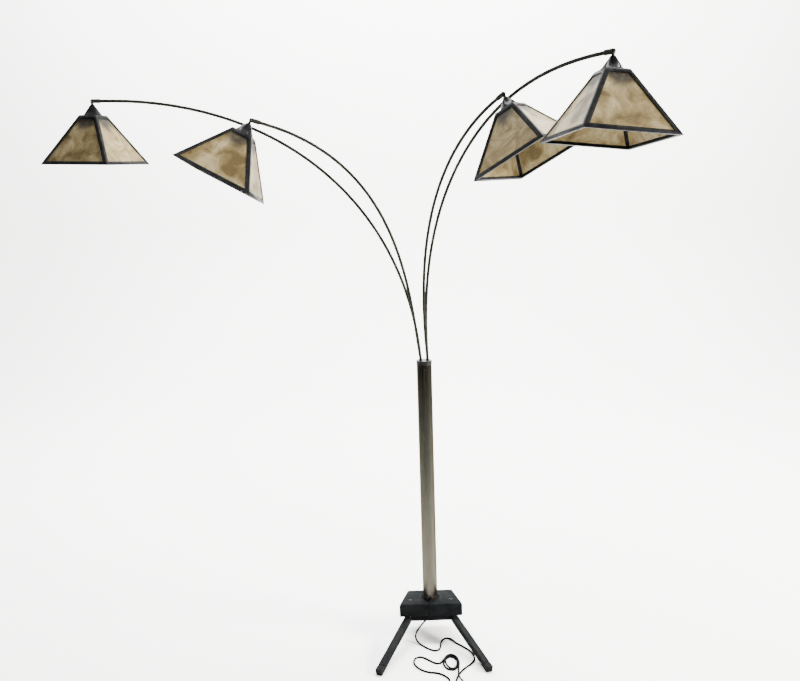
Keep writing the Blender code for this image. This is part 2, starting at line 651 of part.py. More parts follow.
def window_mesh():
    """A bar of trapezoid section, right through the shade along Y, that opens two panels."""
    low = SHADE_TOP - SHADE_TALL + RIM_STRIP
    high = SHADE_TOP - TOP_STRIP
    shape = bmesh.new()
    bmesh.ops.create_cube(shape, size=1.0)
    for v in shape.verts:
        height = high if v.co.z > 0 else low
        v.co = Vector((math.copysign(half_at(height) - FRAME_STRIP, v.co.x),
                       math.copysign(0.2, v.co.y), height))
    return mesh_of("window", shape)


def shade(n, pivot, degrees):
    """The metal frame of a shade and the four-sided mica skin inside it."""
    bottom = SHADE_TOP - SHADE_TALL
    at = turn(degrees, "Z")
    frame = part(f"shade_frame_{n}", frustum("shade_frame", SHADE_TOP_HALF, SHADE_BOTTOM_HALF,
                                             SHADE_TOP, bottom, True), "frame_bronze", at, pivot)
    skin(frame, FRAME_THICK)
    lip = SHADE_BOTTOM_HALF - 0.001
    ring = guide(f"lip_{n}_join", box_mesh("lip", (-lip, -lip, bottom + 0.0002),
                                           (lip, lip, bottom + 0.0002 + FRAME_THICK)), at, pivot)
    hole = lip - RIM_LIP
    cut(ring, f"lip_hole_{n}", box_mesh("lip_hole", (-hole, -hole, bottom - 0.01),
                                        (hole, hole, bottom + 0.01)), at, pivot)
    boolean(frame, ring, "UNION")
    for quarter in (0, 90):
        cut(frame, f"window_{n}_{quarter}", window_mesh(), turn(degrees + quarter, "Z"), pivot)
    cut(frame, f"socket_hole_{n}", rod_mesh("socket_hole", SOCKET_SHELL_RADIUS + 2 * SOCKET_CLEAR,
                                            -0.06, -0.03, 16), at, pivot)
    inset = (FRAME_THICK + GAP) * math.hypot(1, SLANT)
    high, low = SHADE_TOP - FRAME_THICK - 0.0015, bottom + 2 * FRAME_THICK
    panels = part(f"mica_panels_{n}", frustum("mica_panels", half_at(high) - inset,
                                              half_at(low) - inset, high, low, False), "mica", at,
                  pivot)
    skin(panels, PANEL_THICK)


for number, layout in ARMS.items():
    hole_at = Vector(layout["hole"]) * ARM_HOLE
    swivel_axis = empty(f"arm_{number}_swivel", move(*hole_at, 0) @ turn(layout["azimuth"], "Z"), stand)
    arm_tube(number, layout, swivel_axis)
    roll_axis = empty(f"shade_{number}_roll", move(layout["reach"], 0, layout["height"])
                      @ turn(-layout["slope"], "Y") @ turn(layout["roll"], "X"), swivel_axis)
    knuckle_sleeve(number, roll_axis)
    tilt_axis = empty(f"shade_{number}_tilt", turn(-layout["tilt"], "Y"), roll_axis)
    cone_cup(number, tilt_axis)
    socket_and_bulb(number, tilt_axis)
    shade(number, tilt_axis, layout["turn"])


# ---- cord ---------------------------------------------------------------------------------------
def cord(name, route):
    points = [p if len(p) == 3 else (*p, FLOOR_Z) for p in route]
    return wire(name, smooth_line(points, CORD_SPACING), CORD_RADIUS, "cord_black", 2, True, stand)


def ring_solid(name, centre, inner, outer, tall, stretch=(1.0, 1.0)):
    """The plain outer shape of a coil, lying on the floor."""
    low = 0.0002
    middle, step = (low + tall) / 2, 0.15 * (outer - inner)
    turned(name, [(outer, middle), (outer - step, low), (inner + step, low), (inner, middle),
                  (inner + step, tall), (outer - step, tall)], "cord_black",
           move(*centre, 0) @ Matrix.Diagonal((*stretch, 1.0, 1.0)), stand, 24)


def plug(start):
    """A two-blade plug lying on the floor, its back towards the cord."""
    half_wide, half_tall = PLUG_WIDE / 2, PLUG_TALL / 2
    at = move(*start)
    back, front = PLUG_BODY
    body = part("plug", box_mesh("plug", (back, -half_wide, -half_tall + 0.0001),
                                 (front, half_wide, half_tall)), "cord_black", at, stand)
    bevel(body, PLUG_EDGE, 2)
    shape = bmesh.new()
    bmesh.ops.create_cone(shape, cap_ends=True, segments=20, radius1=PLUG_TAPER[0],
                          radius2=PLUG_TAPER[1], depth=PLUG_TAPER_LONG)
    join(body, "plug_taper", mesh_of("plug_taper", shape),
         at @ move(-PLUG_TAPER_LONG / 2, 0, 0) @ turn(-90, "Y"), stand)
    for side in (-1, 1):
        middle = side * BLADE_APART / 2
        join(body, f"blade_{side}", box_mesh("blade", (BLADE_END, middle - BLADE_THICK / 2,
                                                       -BLADE_WIDE / 2),
                                             (back + 0.002, middle + BLADE_THICK / 2, BLADE_WIDE / 2)),
             at, stand)


cord("cord_run", CORD_ROUTE)
ring_solid("cord_loop", LOOP_CENTRE, 1.0 - LOOP_BAND / 2 / LOOP_HALF[0],
           1.0 + LOOP_BAND / 2 / LOOP_HALF[0], LOOP_TALL, LOOP_HALF)
cord("cord_tail", TAIL_ROUTE)
ring_solid("cord_coil", COIL_CENTRE, COIL_INNER, COIL_OUTER, COIL_TALL)
cord("cord_end", END_ROUTE)
plug(PLUG_AT)
bpy.context.view_layer.update()
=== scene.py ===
"""The looks of the four-armed arc floor lamp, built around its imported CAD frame.

Metres, +Z up, in the frame's own coordinates. Shades, cups and sleeves are made in their own local
frames: the knuckle's pin is the origin and +Z runs up the shade's axis.
"""
import json
import math

import bmesh
import bpy
from mathutils import Matrix, Vector, noise


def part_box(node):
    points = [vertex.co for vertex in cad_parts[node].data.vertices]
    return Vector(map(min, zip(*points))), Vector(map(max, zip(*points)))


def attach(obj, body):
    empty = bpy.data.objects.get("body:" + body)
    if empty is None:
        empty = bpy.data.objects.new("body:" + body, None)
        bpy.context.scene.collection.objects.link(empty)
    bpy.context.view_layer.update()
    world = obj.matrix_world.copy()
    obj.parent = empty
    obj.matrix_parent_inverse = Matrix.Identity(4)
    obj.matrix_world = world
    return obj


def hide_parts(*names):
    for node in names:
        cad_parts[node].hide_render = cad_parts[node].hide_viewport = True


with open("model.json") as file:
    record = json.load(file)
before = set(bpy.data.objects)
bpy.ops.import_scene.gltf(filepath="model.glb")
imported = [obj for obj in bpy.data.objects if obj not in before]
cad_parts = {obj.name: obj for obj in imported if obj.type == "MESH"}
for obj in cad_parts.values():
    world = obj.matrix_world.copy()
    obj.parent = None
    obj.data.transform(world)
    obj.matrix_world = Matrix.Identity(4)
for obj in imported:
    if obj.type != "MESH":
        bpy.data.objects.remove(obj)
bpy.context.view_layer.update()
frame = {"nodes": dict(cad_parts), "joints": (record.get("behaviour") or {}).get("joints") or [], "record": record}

LAMPS = (1, 2, 3, 4)
MM = 0.001

# ---- places from the frame ----------------------------------------------------------------------
JOINTS = {joint["name"]: joint for joint in frame["joints"]}
BODY_OF = {node: body for body, nodes in frame["record"]["behaviour"]["bodies"].items() for node in nodes}
SLOT_OF = {row["node"]: row["material_slot"] for row in frame["record"]["subparts"]}


def middle(node):
    low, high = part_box(node)
    return (low + high) / 2


def corner_points(node):
    """The node's points, each once."""
    seen = {}
    for v in frame["nodes"][node].data.vertices:
        seen[tuple(round(c, 6) for c in v.co)] = v.co.copy()
    return list(seen.values())


def axes_matrix(x, y, z, origin):
    made = Matrix((x, y, z)).transposed().to_4x4()
    made.translation = origin
    return made


def knuckle_matrix(n):
    """A sleeve's frame: +X out along the arm's end, +Y along the pin."""
    pin = Vector(JOINTS[f"shade_{n}_tilt"]["axis"]).normalized()
    out = Vector(JOINTS[f"shade_{n}_roll"]["axis"]).normalized()
    return axes_matrix(out, pin, out.cross(pin), Vector(JOINTS[f"shade_{n}_tilt"]["pos_m"]))


def lamp_matrix(n):
    """A shade's frame: +Z up its axis, which runs from the lamp holder's middle to the pin."""
    pin = Vector(JOINTS[f"shade_{n}_tilt"]["pos_m"])
    points = corner_points(f"bulb_socket_{n}")
    centre = sum(points, Vector()) / len(points)
    up = (pin - centre).normalized()
    across = Vector(JOINTS[f"shade_{n}_tilt"]["axis"]).normalized()
    return axes_matrix(across.cross(up), across, up, pin)


def shade_matrix(n):
    """The same, turned so that the shade's sides face along X and Y."""
    local = lamp_matrix(n)
    back = local.inverted()
    corner = max((back @ p for p in corner_points(f"shade_frame_{n}")), key=lambda p: p.xy.length)
    angle = math.atan2(corner.y, corner.x) - math.pi / 4
    return local @ Matrix.Rotation(angle, 4, "Z")


def arm_rings(n):
    """The middle line of an arm's tube: the centres of the rings of points along it."""
    points = corner_points(f"arm_{n}")
    groups = []
    while points:
        group, fresh = [], [points.pop()]
        while fresh:
            at = fresh.pop()
            group.append(at)
            near = [p for p in points if (p - at).length < 4.5 * MM]
            points = [p for p in points if (p - at).length >= 4.5 * MM]
            fresh += near
        groups.append(sum(group, Vector()) / len(group))
    line = [min(groups, key=lambda p: p.z)]
    groups.remove(line[0])
    while groups:
        line.append(min(groups, key=lambda p: (p - line[-1]).length))
        groups.remove(line[-1])
    return line


def smooth_line(points, spacing):
    """Points along a smooth curve through the given ones, about a spacing apart."""
    route = [Vector(p) for p in points]
    line = [route[0]]
    for i in range(len(route) - 1):
        before = route[max(i - 1, 0)]
        start, end = route[i], route[i + 1]
        after = route[min(i + 2, len(route) - 1)]
        count = max(1, round((end - start).length / spacing))
        for k in range(1, count + 1):
            t = k / count
            line.append(0.5 * (2 * start + (end - before) * t
                               + (2 * before - 5 * start + 4 * end - after) * t ** 2
                               + (3 * start - before - 3 * end + after) * t ** 3))
    return line


POST = middle("post_tube")
POST.z = 0.0
AT_POST = Matrix.Translation(POST)

# ---- camera -------------------------------------------------------------------------------------
CAMERA_AT = Vector((-0.064, -2.572, 1.526))  # from the foot of the post's axis
CAMERA_PITCH = 10.26
CAMERA_ROLL = 1.8
SENSOR = 36.0
LENS = SENSOR * 781 / 800

eye = bpy.data.cameras.new("camera")
eye.sensor_width = SENSOR
eye.lens = LENS
eye.clip_end = 60
camera = bpy.data.objects.new("camera", eye)
bpy.context.scene.collection.objects.link(camera)
aim = Matrix.Rotation(math.radians(CAMERA_ROLL), 4, "Y") @ Matrix.Rotation(math.radians(90 - CAMERA_PITCH),
                                                                           4, "X")
camera.matrix_world = Matrix.Translation(POST + CAMERA_AT) @ aim
bpy.context.scene.camera = camera


# ---- node helpers -------------------------------------------------------------------------------
class Look:
    """A material with a Principled shader and short calls for its procedural nodes."""

    def __init__(self, name, colour, roughness, metallic=0.0, **sockets):
        self.material = bpy.data.materials.new(name)
        self.material.use_nodes = True
        self.tree = self.material.node_tree
        self.shader = self.tree.nodes["Principled BSDF"]
        self.set("Base Color", (*colour, 1.0))
        self.set("Roughness", roughness)
        self.set("Metallic", metallic)
        for socket, value in sockets.items():
            self.set(socket.replace("_", " "), value)
        self.coords = self.node("ShaderNodeTexCoord").outputs["Object"]

    def node(self, kind, **values):
        made = self.tree.nodes.new(kind)
        for key, value in values.items():
            setattr(made, key, value)
        return made

    def set(self, socket, value):
        self.shader.inputs[socket].default_value = value

    def link(self, output, target):
        self.tree.links.new(output, target)

    def stretched(self, scale):
        """The object's coordinates, scaled by axis."""
        made = self.node("ShaderNodeMapping")
        made.inputs["Scale"].default_value = scale
        self.link(self.coords, made.inputs["Vector"])
        return made.outputs["Vector"]

    def noise(self, scale, detail=4.0, roughness=0.55, distortion=0.0, coords=None):
        made = self.node("ShaderNodeTexNoise")
        made.inputs["Scale"].default_value = scale
        made.inputs["Detail"].default_value = detail
        made.inputs["Roughness"].default_value = roughness
        made.inputs["Distortion"].default_value = distortion
        self.link(self.coords if coords is None else coords, made.inputs["Vector"])
        return made.outputs["Fac"]

    def ramp(self, value, *stops):
        """Colours or greys along a value; each stop is (position, colour or number)."""
        made = self.node("ShaderNodeValToRGB")
        elements = made.color_ramp.elements
        while len(elements) < len(stops):
            elements.new(0.5)
        for element, (position, colour) in zip(elements, stops):
            element.position = position
            element.color = (*colour, 1.0) if isinstance(colour, tuple) else (colour,) * 3 + (1.0,)
        self.link(value, made.inputs["Fac"])
        return made.outputs["Color"]

    def mix(self, fac, a, b, blend="MIX"):
        made = self.node("ShaderNodeMix", data_type="RGBA", blend_type=blend)
        for index, value in ((6, a), (7, b)):
            if isinstance(value, tuple):
                made.inputs[index].default_value = (*value, 1.0)
            else:
                self.link(value, made.inputs[index])
        if isinstance(fac, float):
            made.inputs[0].default_value = fac
        else:
            self.link(fac, made.inputs[0])
        return made.outputs[2]

    def math(self, operation, a, b):
        made = self.node("ShaderNodeMath", operation=operation)
        for index, value in enumerate((a, b)):
            if isinstance(value, (int, float)):
                made.inputs[index].default_value = value
            else:
                self.link(value, made.inputs[index])
        return made.outputs[0]

    def attribute(self, name):
        return self.node("ShaderNodeAttribute", attribute_name=name).outputs["Fac"]

    def colour(self, output):
        self.link(output, self.shader.inputs["Base Color"])

    def roughness(self, value, low, high):
        spread = self.node("ShaderNodeMapRange")
        spread.inputs["From Min"].default_value = 0.3
        spread.inputs["From Max"].default_value = 0.7
        spread.inputs["To Min"].default_value = low
        spread.inputs["To Max"].default_value = high
        self.link(value, spread.inputs["Value"])
        self.link(spread.outputs["Result"], self.shader.inputs["Roughness"])

    def bump(self, height, distance, strength=1.0):
        made = self.node("ShaderNodeBump")
        made.inputs["Strength"].default_value = strength
        made.inputs["Distance"].default_value = distance
        self.link(height, made.inputs["Height"])
        previous = self.shader.inputs["Normal"].links
        if previous:
            self.link(previous[0].from_socket, made.inputs["Normal"])
        self.link(made.outputs["Normal"], self.shader.inputs["Normal"])


# ---- materials ----------------------------------------------------------------------------------
def tinted(look, clouds, dark, light, gloss, low, high):
    """Colours between two tones by a noise, and a roughness that varies by another."""
    look.colour(look.ramp(clouds, dark, light))
    look.roughness(gloss, low, high)
    return look


def cast_black():
    """Satin black paint on a casting: fine pebble and faint scuffs."""
    look = Look("cast_black", (0.006, 0.007, 0.008), 0.6, 0.0, Specular_IOR_Level=0.01)
    broad = look.noise(22, 5, 0.6)
    colour = look.ramp(broad, (0.30, (0.0035, 0.0042, 0.0048)), (0.70, (0.0085, 0.0095, 0.0100)))
    scuffs = look.ramp(look.noise(140, 6, 0.7, 0.6), (0.64, 0.0), (0.72, 1.0))
    look.colour(look.mix(scuffs, colour, (0.020, 0.021, 0.021)))
    look.roughness(look.noise(60, 4), 0.50, 0.68)
    look.bump(look.noise(900, 3, 0.5), 0.12 * MM, 0.6)
    look.bump(look.noise(180, 2, 0.5), 0.10 * MM, 0.4)
    return look.material


def bar_black():
    """Black paint on drawn square bar, with small chips."""
    look = Look("bar_black", (0.007, 0.008, 0.008), 0.5, 0.0, Specular_IOR_Level=0.01)
    tone = look.noise(35, 5, 0.6)
    colour = look.ramp(tone, (0.30, (0.004, 0.0045, 0.005)), (0.70, (0.010, 0.0105, 0.0105)))
    chips = look.ramp(look.noise(240, 5, 0.75, 0.3), (0.70, 0.0), (0.74, 1.0))
    look.colour(look.mix(chips, colour, (0.035, 0.035, 0.033)))
    look.roughness(look.noise(90, 4), 0.32, 0.52)
    look.bump(look.noise(700, 3, 0.5), 0.08 * MM, 0.5)
    return look.material


def rubber_black():
    look = Look("rubber_black", (0.006, 0.006, 0.007), 0.8, Specular_IOR_Level=0.04)
    dust = look.ramp(look.noise(80, 6, 0.7), (0.45, (0.0045, 0.0045, 0.005)), (0.80, (0.016, 0.015, 0.014)))
    look.colour(dust)
    look.roughness(look.noise(150, 3), 0.65, 0.9)
    look.bump(look.noise(1200, 3, 0.6), 0.10 * MM, 0.6)
    return look.material


def bolt_black():
    """Blackened steel, a little worn."""
    look = Look("bolt_black", (0.008, 0.008, 0.009), 0.35, 0.0, Specular_IOR_Level=0.12)
    worn = look.ramp(look.noise(300, 5, 0.7), (0.40, (0.006, 0.006, 0.007)), (0.75, (0.024, 0.023, 0.022)))
    look.colour(worn)
    look.roughness(look.noise(200, 3), 0.26, 0.48)
    look.bump(look.noise(1500, 2), 0.03 * MM, 0.4)
    return look.material


def steel(low, high):
    """The post: steel with drawn lines along it, and a painted reflection that makes it lighter at its foot and
    darker olive towards its head.
    """
    look = Look("steel", (0.20, 0.19, 0.16), 0.3, 1.0, Specular_Tint=(0.45, 0.42, 0.36, 1.0))
    height = look.node("ShaderNodeSeparateXYZ")
    look.link(look.coords, height.inputs[0])
    # painted reflection: the colour runs from light at the foot to dark at the head, by height
    reflection_by_height = look.node("ShaderNodeMapRange")
    reflection_by_height.inputs["From Min"].default_value = low
    reflection_by_height.inputs["From Max"].default_value = high
    look.link(height.outputs["Z"], reflection_by_height.inputs["Value"])
    reflection_patches = look.noise(9, 4, 0.6)
    reflection_wander = look.math("ADD", reflection_by_height.outputs["Result"], look.math("MULTIPLY", look.math(
        "SUBTRACT", reflection_patches, 0.5), 0.16))
    # the painted reflection's tones, from the foot up to the head
    tone = look.ramp(reflection_wander, (0.0, (0.090, 0.085, 0.068)), (0.25, (0.062, 0.059, 0.046)),
                     (0.60, (0.034, 0.034, 0.027)), (1.0, (0.026, 0.026, 0.021)))
    lines = look.noise(1.0, 4, 0.65, 0.0, look.stretched((420, 420, 3)))
    shaded = look.mix(0.45, tone, look.ramp(lines, (0.30, 0.35), (0.70, 1.0)), "MULTIPLY")
    spots = look.ramp(look.noise(160, 6, 0.75, 0.4), (0.66, 0.0), (0.74, 1.0))
    look.colour(look.mix(spots, shaded, (0.07, 0.062, 0.048)))
    look.roughness(look.noise(1.0, 3, 0.6, 0.0, look.stretched((300, 300, 6))), 0.22, 0.42)
    look.bump(lines, 0.03 * MM, 0.5)
    return look.material


def steel_dark():
    """Oxidised steel: the post's socket and the knuckles' pins."""
    look = Look("steel_dark", (0.11, 0.11, 0.10), 0.38, 1.0)
    look.colour(look.ramp(look.noise(120, 6, 0.7), (0.35, (0.055, 0.053, 0.045)),
                          (0.70, (0.17, 0.165, 0.145))))
    look.roughness(look.noise(220, 4), 0.28, 0.50)
    look.bump(look.noise(1.0, 3, 0.6, 0.0, look.stretched((30, 30, 1600))), 0.03 * MM, 0.5)
    return look.material


def arm_bronze():
    """Dark olive bronze plating, slightly blotched."""
    look = Look("arm_bronze", (0.014, 0.014, 0.011), 0.45, 0.0, Specular_IOR_Level=0.006)
    tone = look.ramp(look.noise(28, 5, 0.65), (0.30, (0.009, 0.0095, 0.008)), (0.72, (0.022, 0.0215, 0.017)))
    specks = look.ramp(look.noise(420, 5, 0.7), (0.68, 0.0), (0.76, 1.0))
    look.colour(look.mix(specks, tone, (0.006, 0.0055, 0.0045)))
    look.roughness(look.noise(110, 4), 0.22, 0.40)
    look.bump(look.noise(900, 3), 0.02 * MM, 0.5)
    return look.material


def cup_black():
    """Polished black nickel with faint turning lines."""
    look = Look("cup_black", (0.006, 0.006, 0.007), 0.16, 0.0, Specular_IOR_Level=0.01)
    look.colour(look.ramp(look.noise(60, 5, 0.6), (0.3, (0.004, 0.004, 0.0045)),
                          (0.7, (0.010, 0.010, 0.0105))))
    rings = look.noise(1.0, 3, 0.6, 0.0, look.stretched((8, 8, 1400)))
    look.roughness(rings, 0.08, 0.20)
    look.bump(rings, 0.01 * MM, 0.4)
    return look.material


def frame_bronze():
    """The shades' frames: blackened metal with a soft polish, rubbed paler in places."""
    look = Look("frame_bronze", (0.010, 0.011, 0.012), 0.45, 0.0, Specular_IOR_Level=0.006)
    tone = look.ramp(look.noise(40, 5, 0.65), (0.32, (0.006, 0.0068, 0.008)), (0.74, (0.020, 0.020, 0.0195)))
    rubbed = look.ramp(look.noise(150, 6, 0.72, 0.5), (0.60, 0.0), (0.72, 1.0))
    look.colour(look.mix(rubbed, tone, (0.045, 0.042, 0.036)))
    look.roughness(look.noise(90, 4), 0.22, 0.40)
    look.bump(look.noise(500, 3), 0.03 * MM, 0.5)
    return look.material


def mica():
    """Resin-bonded mica: pale amber flakes, brown clouds and specks, and painted shade of the lamp holder
    darkening each pane under the cup.
    """
    look = Look("mica", (0.52, 0.45, 0.31), 0.42, 0.0, Subsurface_Weight=0.12, Subsurface_Scale=0.002)
    look.set("Subsurface Radius", (1.0, 0.8, 0.5))
    look.set("Specular IOR Level", 0.03)
    clouds = look.ramp(look.noise(16, 6, 0.62, 0.8), (0.34, (0.075, 0.054, 0.022)),
                       (0.50, (0.165, 0.128, 0.060)), (0.66, (0.270, 0.222, 0.125)))
    flakes = look.node("ShaderNodeTexVoronoi")
    flakes.inputs["Scale"].default_value = 120
    look.link(look.coords, flakes.inputs["Vector"])
    tint = look.ramp(flakes.outputs["Color"], (0.0, 0.86), (1.0, 1.0))
    flaked = look.mix(0.75, clouds, tint, "MULTIPLY")
    stain = look.ramp(look.noise(34, 8, 0.72, 1.4), (0.54, 0.0), (0.74, 1.0))
    stained = look.mix(look.math("MULTIPLY", stain, 0.62), flaked, (0.060, 0.041, 0.019))
    specks = look.ramp(look.noise(210, 5, 0.7, 0.5), (0.645, 0.0), (0.70, 1.0))
    specked = look.mix(look.math("MULTIPLY", specks, 0.80), stained, (0.030, 0.019, 0.008))
    veins = look.ramp(look.noise(1.0, 6, 0.6, 2.0, look.stretched((60, 60, 25))), (0.485, 0.0), (0.50, 1.0),
                      (0.515, 0.0))
    veined = look.mix(look.math("MULTIPLY", veins, 0.30), specked, (0.070, 0.050, 0.025))
    patchy = look.ramp(look.noise(70, 4), (0.2, 0.75), (0.8, 1.0))
    # painted shade: the lamp holder's dark shape, painted near the top middle of each pane
    painted_holder_shade = look.math("MULTIPLY", look.attribute("painted_holder_shade"), patchy)
    look.colour(look.mix(painted_holder_shade, veined, (0.010, 0.011, 0.014)))
    look.roughness(look.noise(45, 4), 0.32, 0.55)
    look.bump(look.noise(55, 4, 0.6, 0.6), 0.35 * MM, 0.5)
    look.bump(flakes.outputs["Distance"], 0.05 * MM, 0.35)
    return look.material


def bakelite():
    """Dark brown-black phenolic, slightly mottled."""
    look = Look("bakelite", (0.016, 0.014, 0.013), 0.3)
    tinted(look, look.noise(50, 6, 0.7), (0.35, (0.010, 0.009, 0.008)), (0.75, (0.030, 0.022, 0.017)),
           look.noise(90, 3), 0.22, 0.42)
    look.bump(look.noise(800, 2), 0.02 * MM, 0.4)
    return look.material


def bulb_glass():
    """Opal glass with the faintest unevenness."""
    look = Look("bulb_glass", (0.84, 0.83, 0.79), 0.18, 0.0, Subsurface_Weight=0.4, Subsurface_Scale=0.004)
    look.set("Coat Weight", 0.4)
    look.colour(look.ramp(look.noise(30, 4), (0.3, (0.80, 0.785, 0.74)), (0.7, (0.88, 0.87, 0.84))))
    look.roughness(look.noise(60, 3), 0.14, 0.26)
    look.bump(look.noise(90, 2), 0.05 * MM, 0.2)
    return look.material


def cord_black():
    """Soft PVC sheath, faintly dusty."""
    look = Look("cord_black", (0.004, 0.004, 0.004), 0.5, 0.0, Specular_IOR_Level=0.01)
    tinted(look, look.noise(90, 6, 0.7), (0.40, (0.003, 0.003, 0.0034)), (0.78, (0.009, 0.0088, 0.0085)),
           look.noise(200, 3), 0.38, 0.6)
    look.bump(look.noise(1500, 2), 0.03 * MM, 0.4)
    return look.material


def nickel():
    look = Look("nickel", (0.55, 0.53, 0.49), 0.25, 1.0)
    look.colour(look.ramp(look.noise(400, 5, 0.7), (0.3, (0.42, 0.40, 0.36)), (0.7, (0.62, 0.60, 0.56))))
    look.roughness(look.noise(1.0, 3, 0.6, 0.0, look.stretched((900, 60, 60))), 0.18, 0.36)
    return look.material


POST_LOW, POST_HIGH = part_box("post_tube")
LOOKS = {
    "cast_black": cast_black(), "bar_black": bar_black(), "rubber_black": rubber_black(),
    "bolt_black": bolt_black(), "steel": steel(POST_LOW.z, POST_HIGH.z), "steel_dark": steel_dark(),
    "arm_bronze": arm_bronze(), "cup_black": cup_black(), "frame_bronze": frame_bronze(), "mica": mica(),
    "bakelite": bakelite(), "bulb_glass": bulb_glass(), "cord_black": cord_black(),
}
NICKEL = nickel()


# ---- mesh helpers -------------------------------------------------------------------------------
def link_piece(name, data, look, matrix=None):
    made = bpy.data.objects.new(name, data)
    bpy.context.scene.collection.objects.link(made)
    data.materials.append(look)
    if matrix is not None:
        made.matrix_world = matrix
    return made


def stands_for(made, *nodes):
    """The piece takes the place of CAD nodes, on their body."""
    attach(made, BODY_OF[nodes[0]])
    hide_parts(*nodes)
    return made


def baked(made):
    """Applies the modifiers, so that the piece is a plain mesh."""
    graph = bpy.context.evaluated_depsgraph_get()
    mesh = bpy.data.meshes.new_from_object(made.evaluated_get(graph))
    made.modifiers.clear()
    made.data = mesh
    return made


def smooth(made, degrees=32):
    for face in made.data.polygons:
        face.use_smooth = True
    made.data.set_sharp_from_angle(angle=math.radians(degrees))
    return made


def bevel(made, width, segments=3, degrees=30):
    step = made.modifiers.new("edges", "BEVEL")
    step.width = width
    step.segments = segments
    step.limit_method = "ANGLE"
    step.angle_limit = math.radians(degrees)
    step.harden_normals = True
    return made


def mesh_from(name, shape):
    mesh = bpy.data.meshes.new(name)
    bmesh.ops.recalc_face_normals(shape, faces=shape.faces)
    shape.to_mesh(mesh)
    shape.free()
    return mesh


def turned_mesh(name, profile, steps=72, flutes=0, depth=0.0):
    """Turns (radius, height) points about Z. Ends on the axis close the shape, and otherwise the
    profile closes on itself. Flutes press shallow grooves into its widest band."""
    shape = bmesh.new()
    on_axis = abs(profile[0][0]) < 1e-7
    widest = max(radius for radius, _ in profile)
    rings = []
    for radius, height in profile:
        if abs(radius) < 1e-7:
            rings.append([shape.verts.new((0, 0, height))])
            continue
        ring = []
        for k in range(steps):
            angle = 2 * math.pi * k / steps
            grooved = radius
            if flutes and radius > widest - 2 * depth:
                grooved -= depth * (0.5 - 0.5 * math.cos(flutes * angle))
            ring.append(shape.verts.new((grooved * math.cos(angle), grooved * math.sin(angle), height)))
        rings.append(ring)
    pairs = list(zip(rings[:-1], rings[1:]))
    if not on_axis:
        pairs.append((rings[-1], rings[0]))
    for a, b in pairs:
        for k in range(steps):
            after = (k + 1) % steps
            corners = [a[k % len(a)], a[after % len(a)], b[after % len(b)], b[k % len(b)]]
            unique = [v for i, v in enumerate(corners) if v not in corners[:i]]
            if len(unique) > 2:
                shape.faces.new(unique)
    return mesh_from(name, shape)


def arc(centre_r, centre_z, radius, start, end, count=6):
    """Points of a profile along an arc, in degrees from +radius towards +height."""
    return [(centre_r + radius * math.cos(math.radians(start + (end - start) * k / count)),
             centre_z + radius * math.sin(math.radians(start + (end - start) * k / count)))
            for k in range(count + 1)]


def rod_mesh(name, radius, low, high, sides=32):
    shape = bmesh.new()
    bmesh.ops.create_cone(shape, cap_ends=True, segments=sides, radius1=radius, radius2=radius,
                          depth=high - low)
    bmesh.ops.translate(shape, vec=(0, 0, (low + high) / 2), verts=shape.verts)
    return mesh_from(name, shape)


def box_mesh(name, low, high):
    shape = bmesh.new()
    bmesh.ops.create_cube(shape, size=1.0)
    low, high = Vector(low), Vector(high)
    bmesh.ops.scale(shape, vec=high - low, verts=shape.verts)
    bmesh.ops.translate(shape, vec=(low + high) / 2, verts=shape.verts)
    return mesh_from(name, shape)


def boolean(made, mesh, matrix, operation="DIFFERENCE"):
    """Cuts a mesh out of a piece, or joins it to the piece, and keeps only the result."""
    tool = bpy.data.objects.new("tool", mesh)
    bpy.context.scene.collection.objects.link(tool)
    tool.matrix_world = matrix
    step = made.modifiers.new("cut", "BOOLEAN")
    step.operation = operation
    step.solver = "EXACT"
    step.object = tool
    bpy.context.view_layer.update()
    baked(made)
    bpy.data.objects.remove(tool)
    return made


def refined(node, edge, segments=3, name=None):
    """A CAD solid with its flat faces merged and its edges finely rounded."""
    shape = bmesh.new()
    shape.from_mesh(frame["nodes"][node].data)
    bmesh.ops.remove_doubles(shape, verts=shape.verts, dist=1e-5)
    bmesh.ops.dissolve_limit(shape, angle_limit=math.radians(0.5), verts=shape.verts, edges=shape.edges)
    made = link_piece(name or f"{node}_fine", mesh_from(node, shape), LOOKS[SLOT_OF[node]])
    bevel(made, edge, segments, 22)
    smooth(baked(made))
    return stands_for(made, node)


def turn(degrees, axis):
    return Matrix.Rotation(math.radians(degrees), 4, axis)


def move(x, y, z):
    return Matrix.Translation((x, y, z))


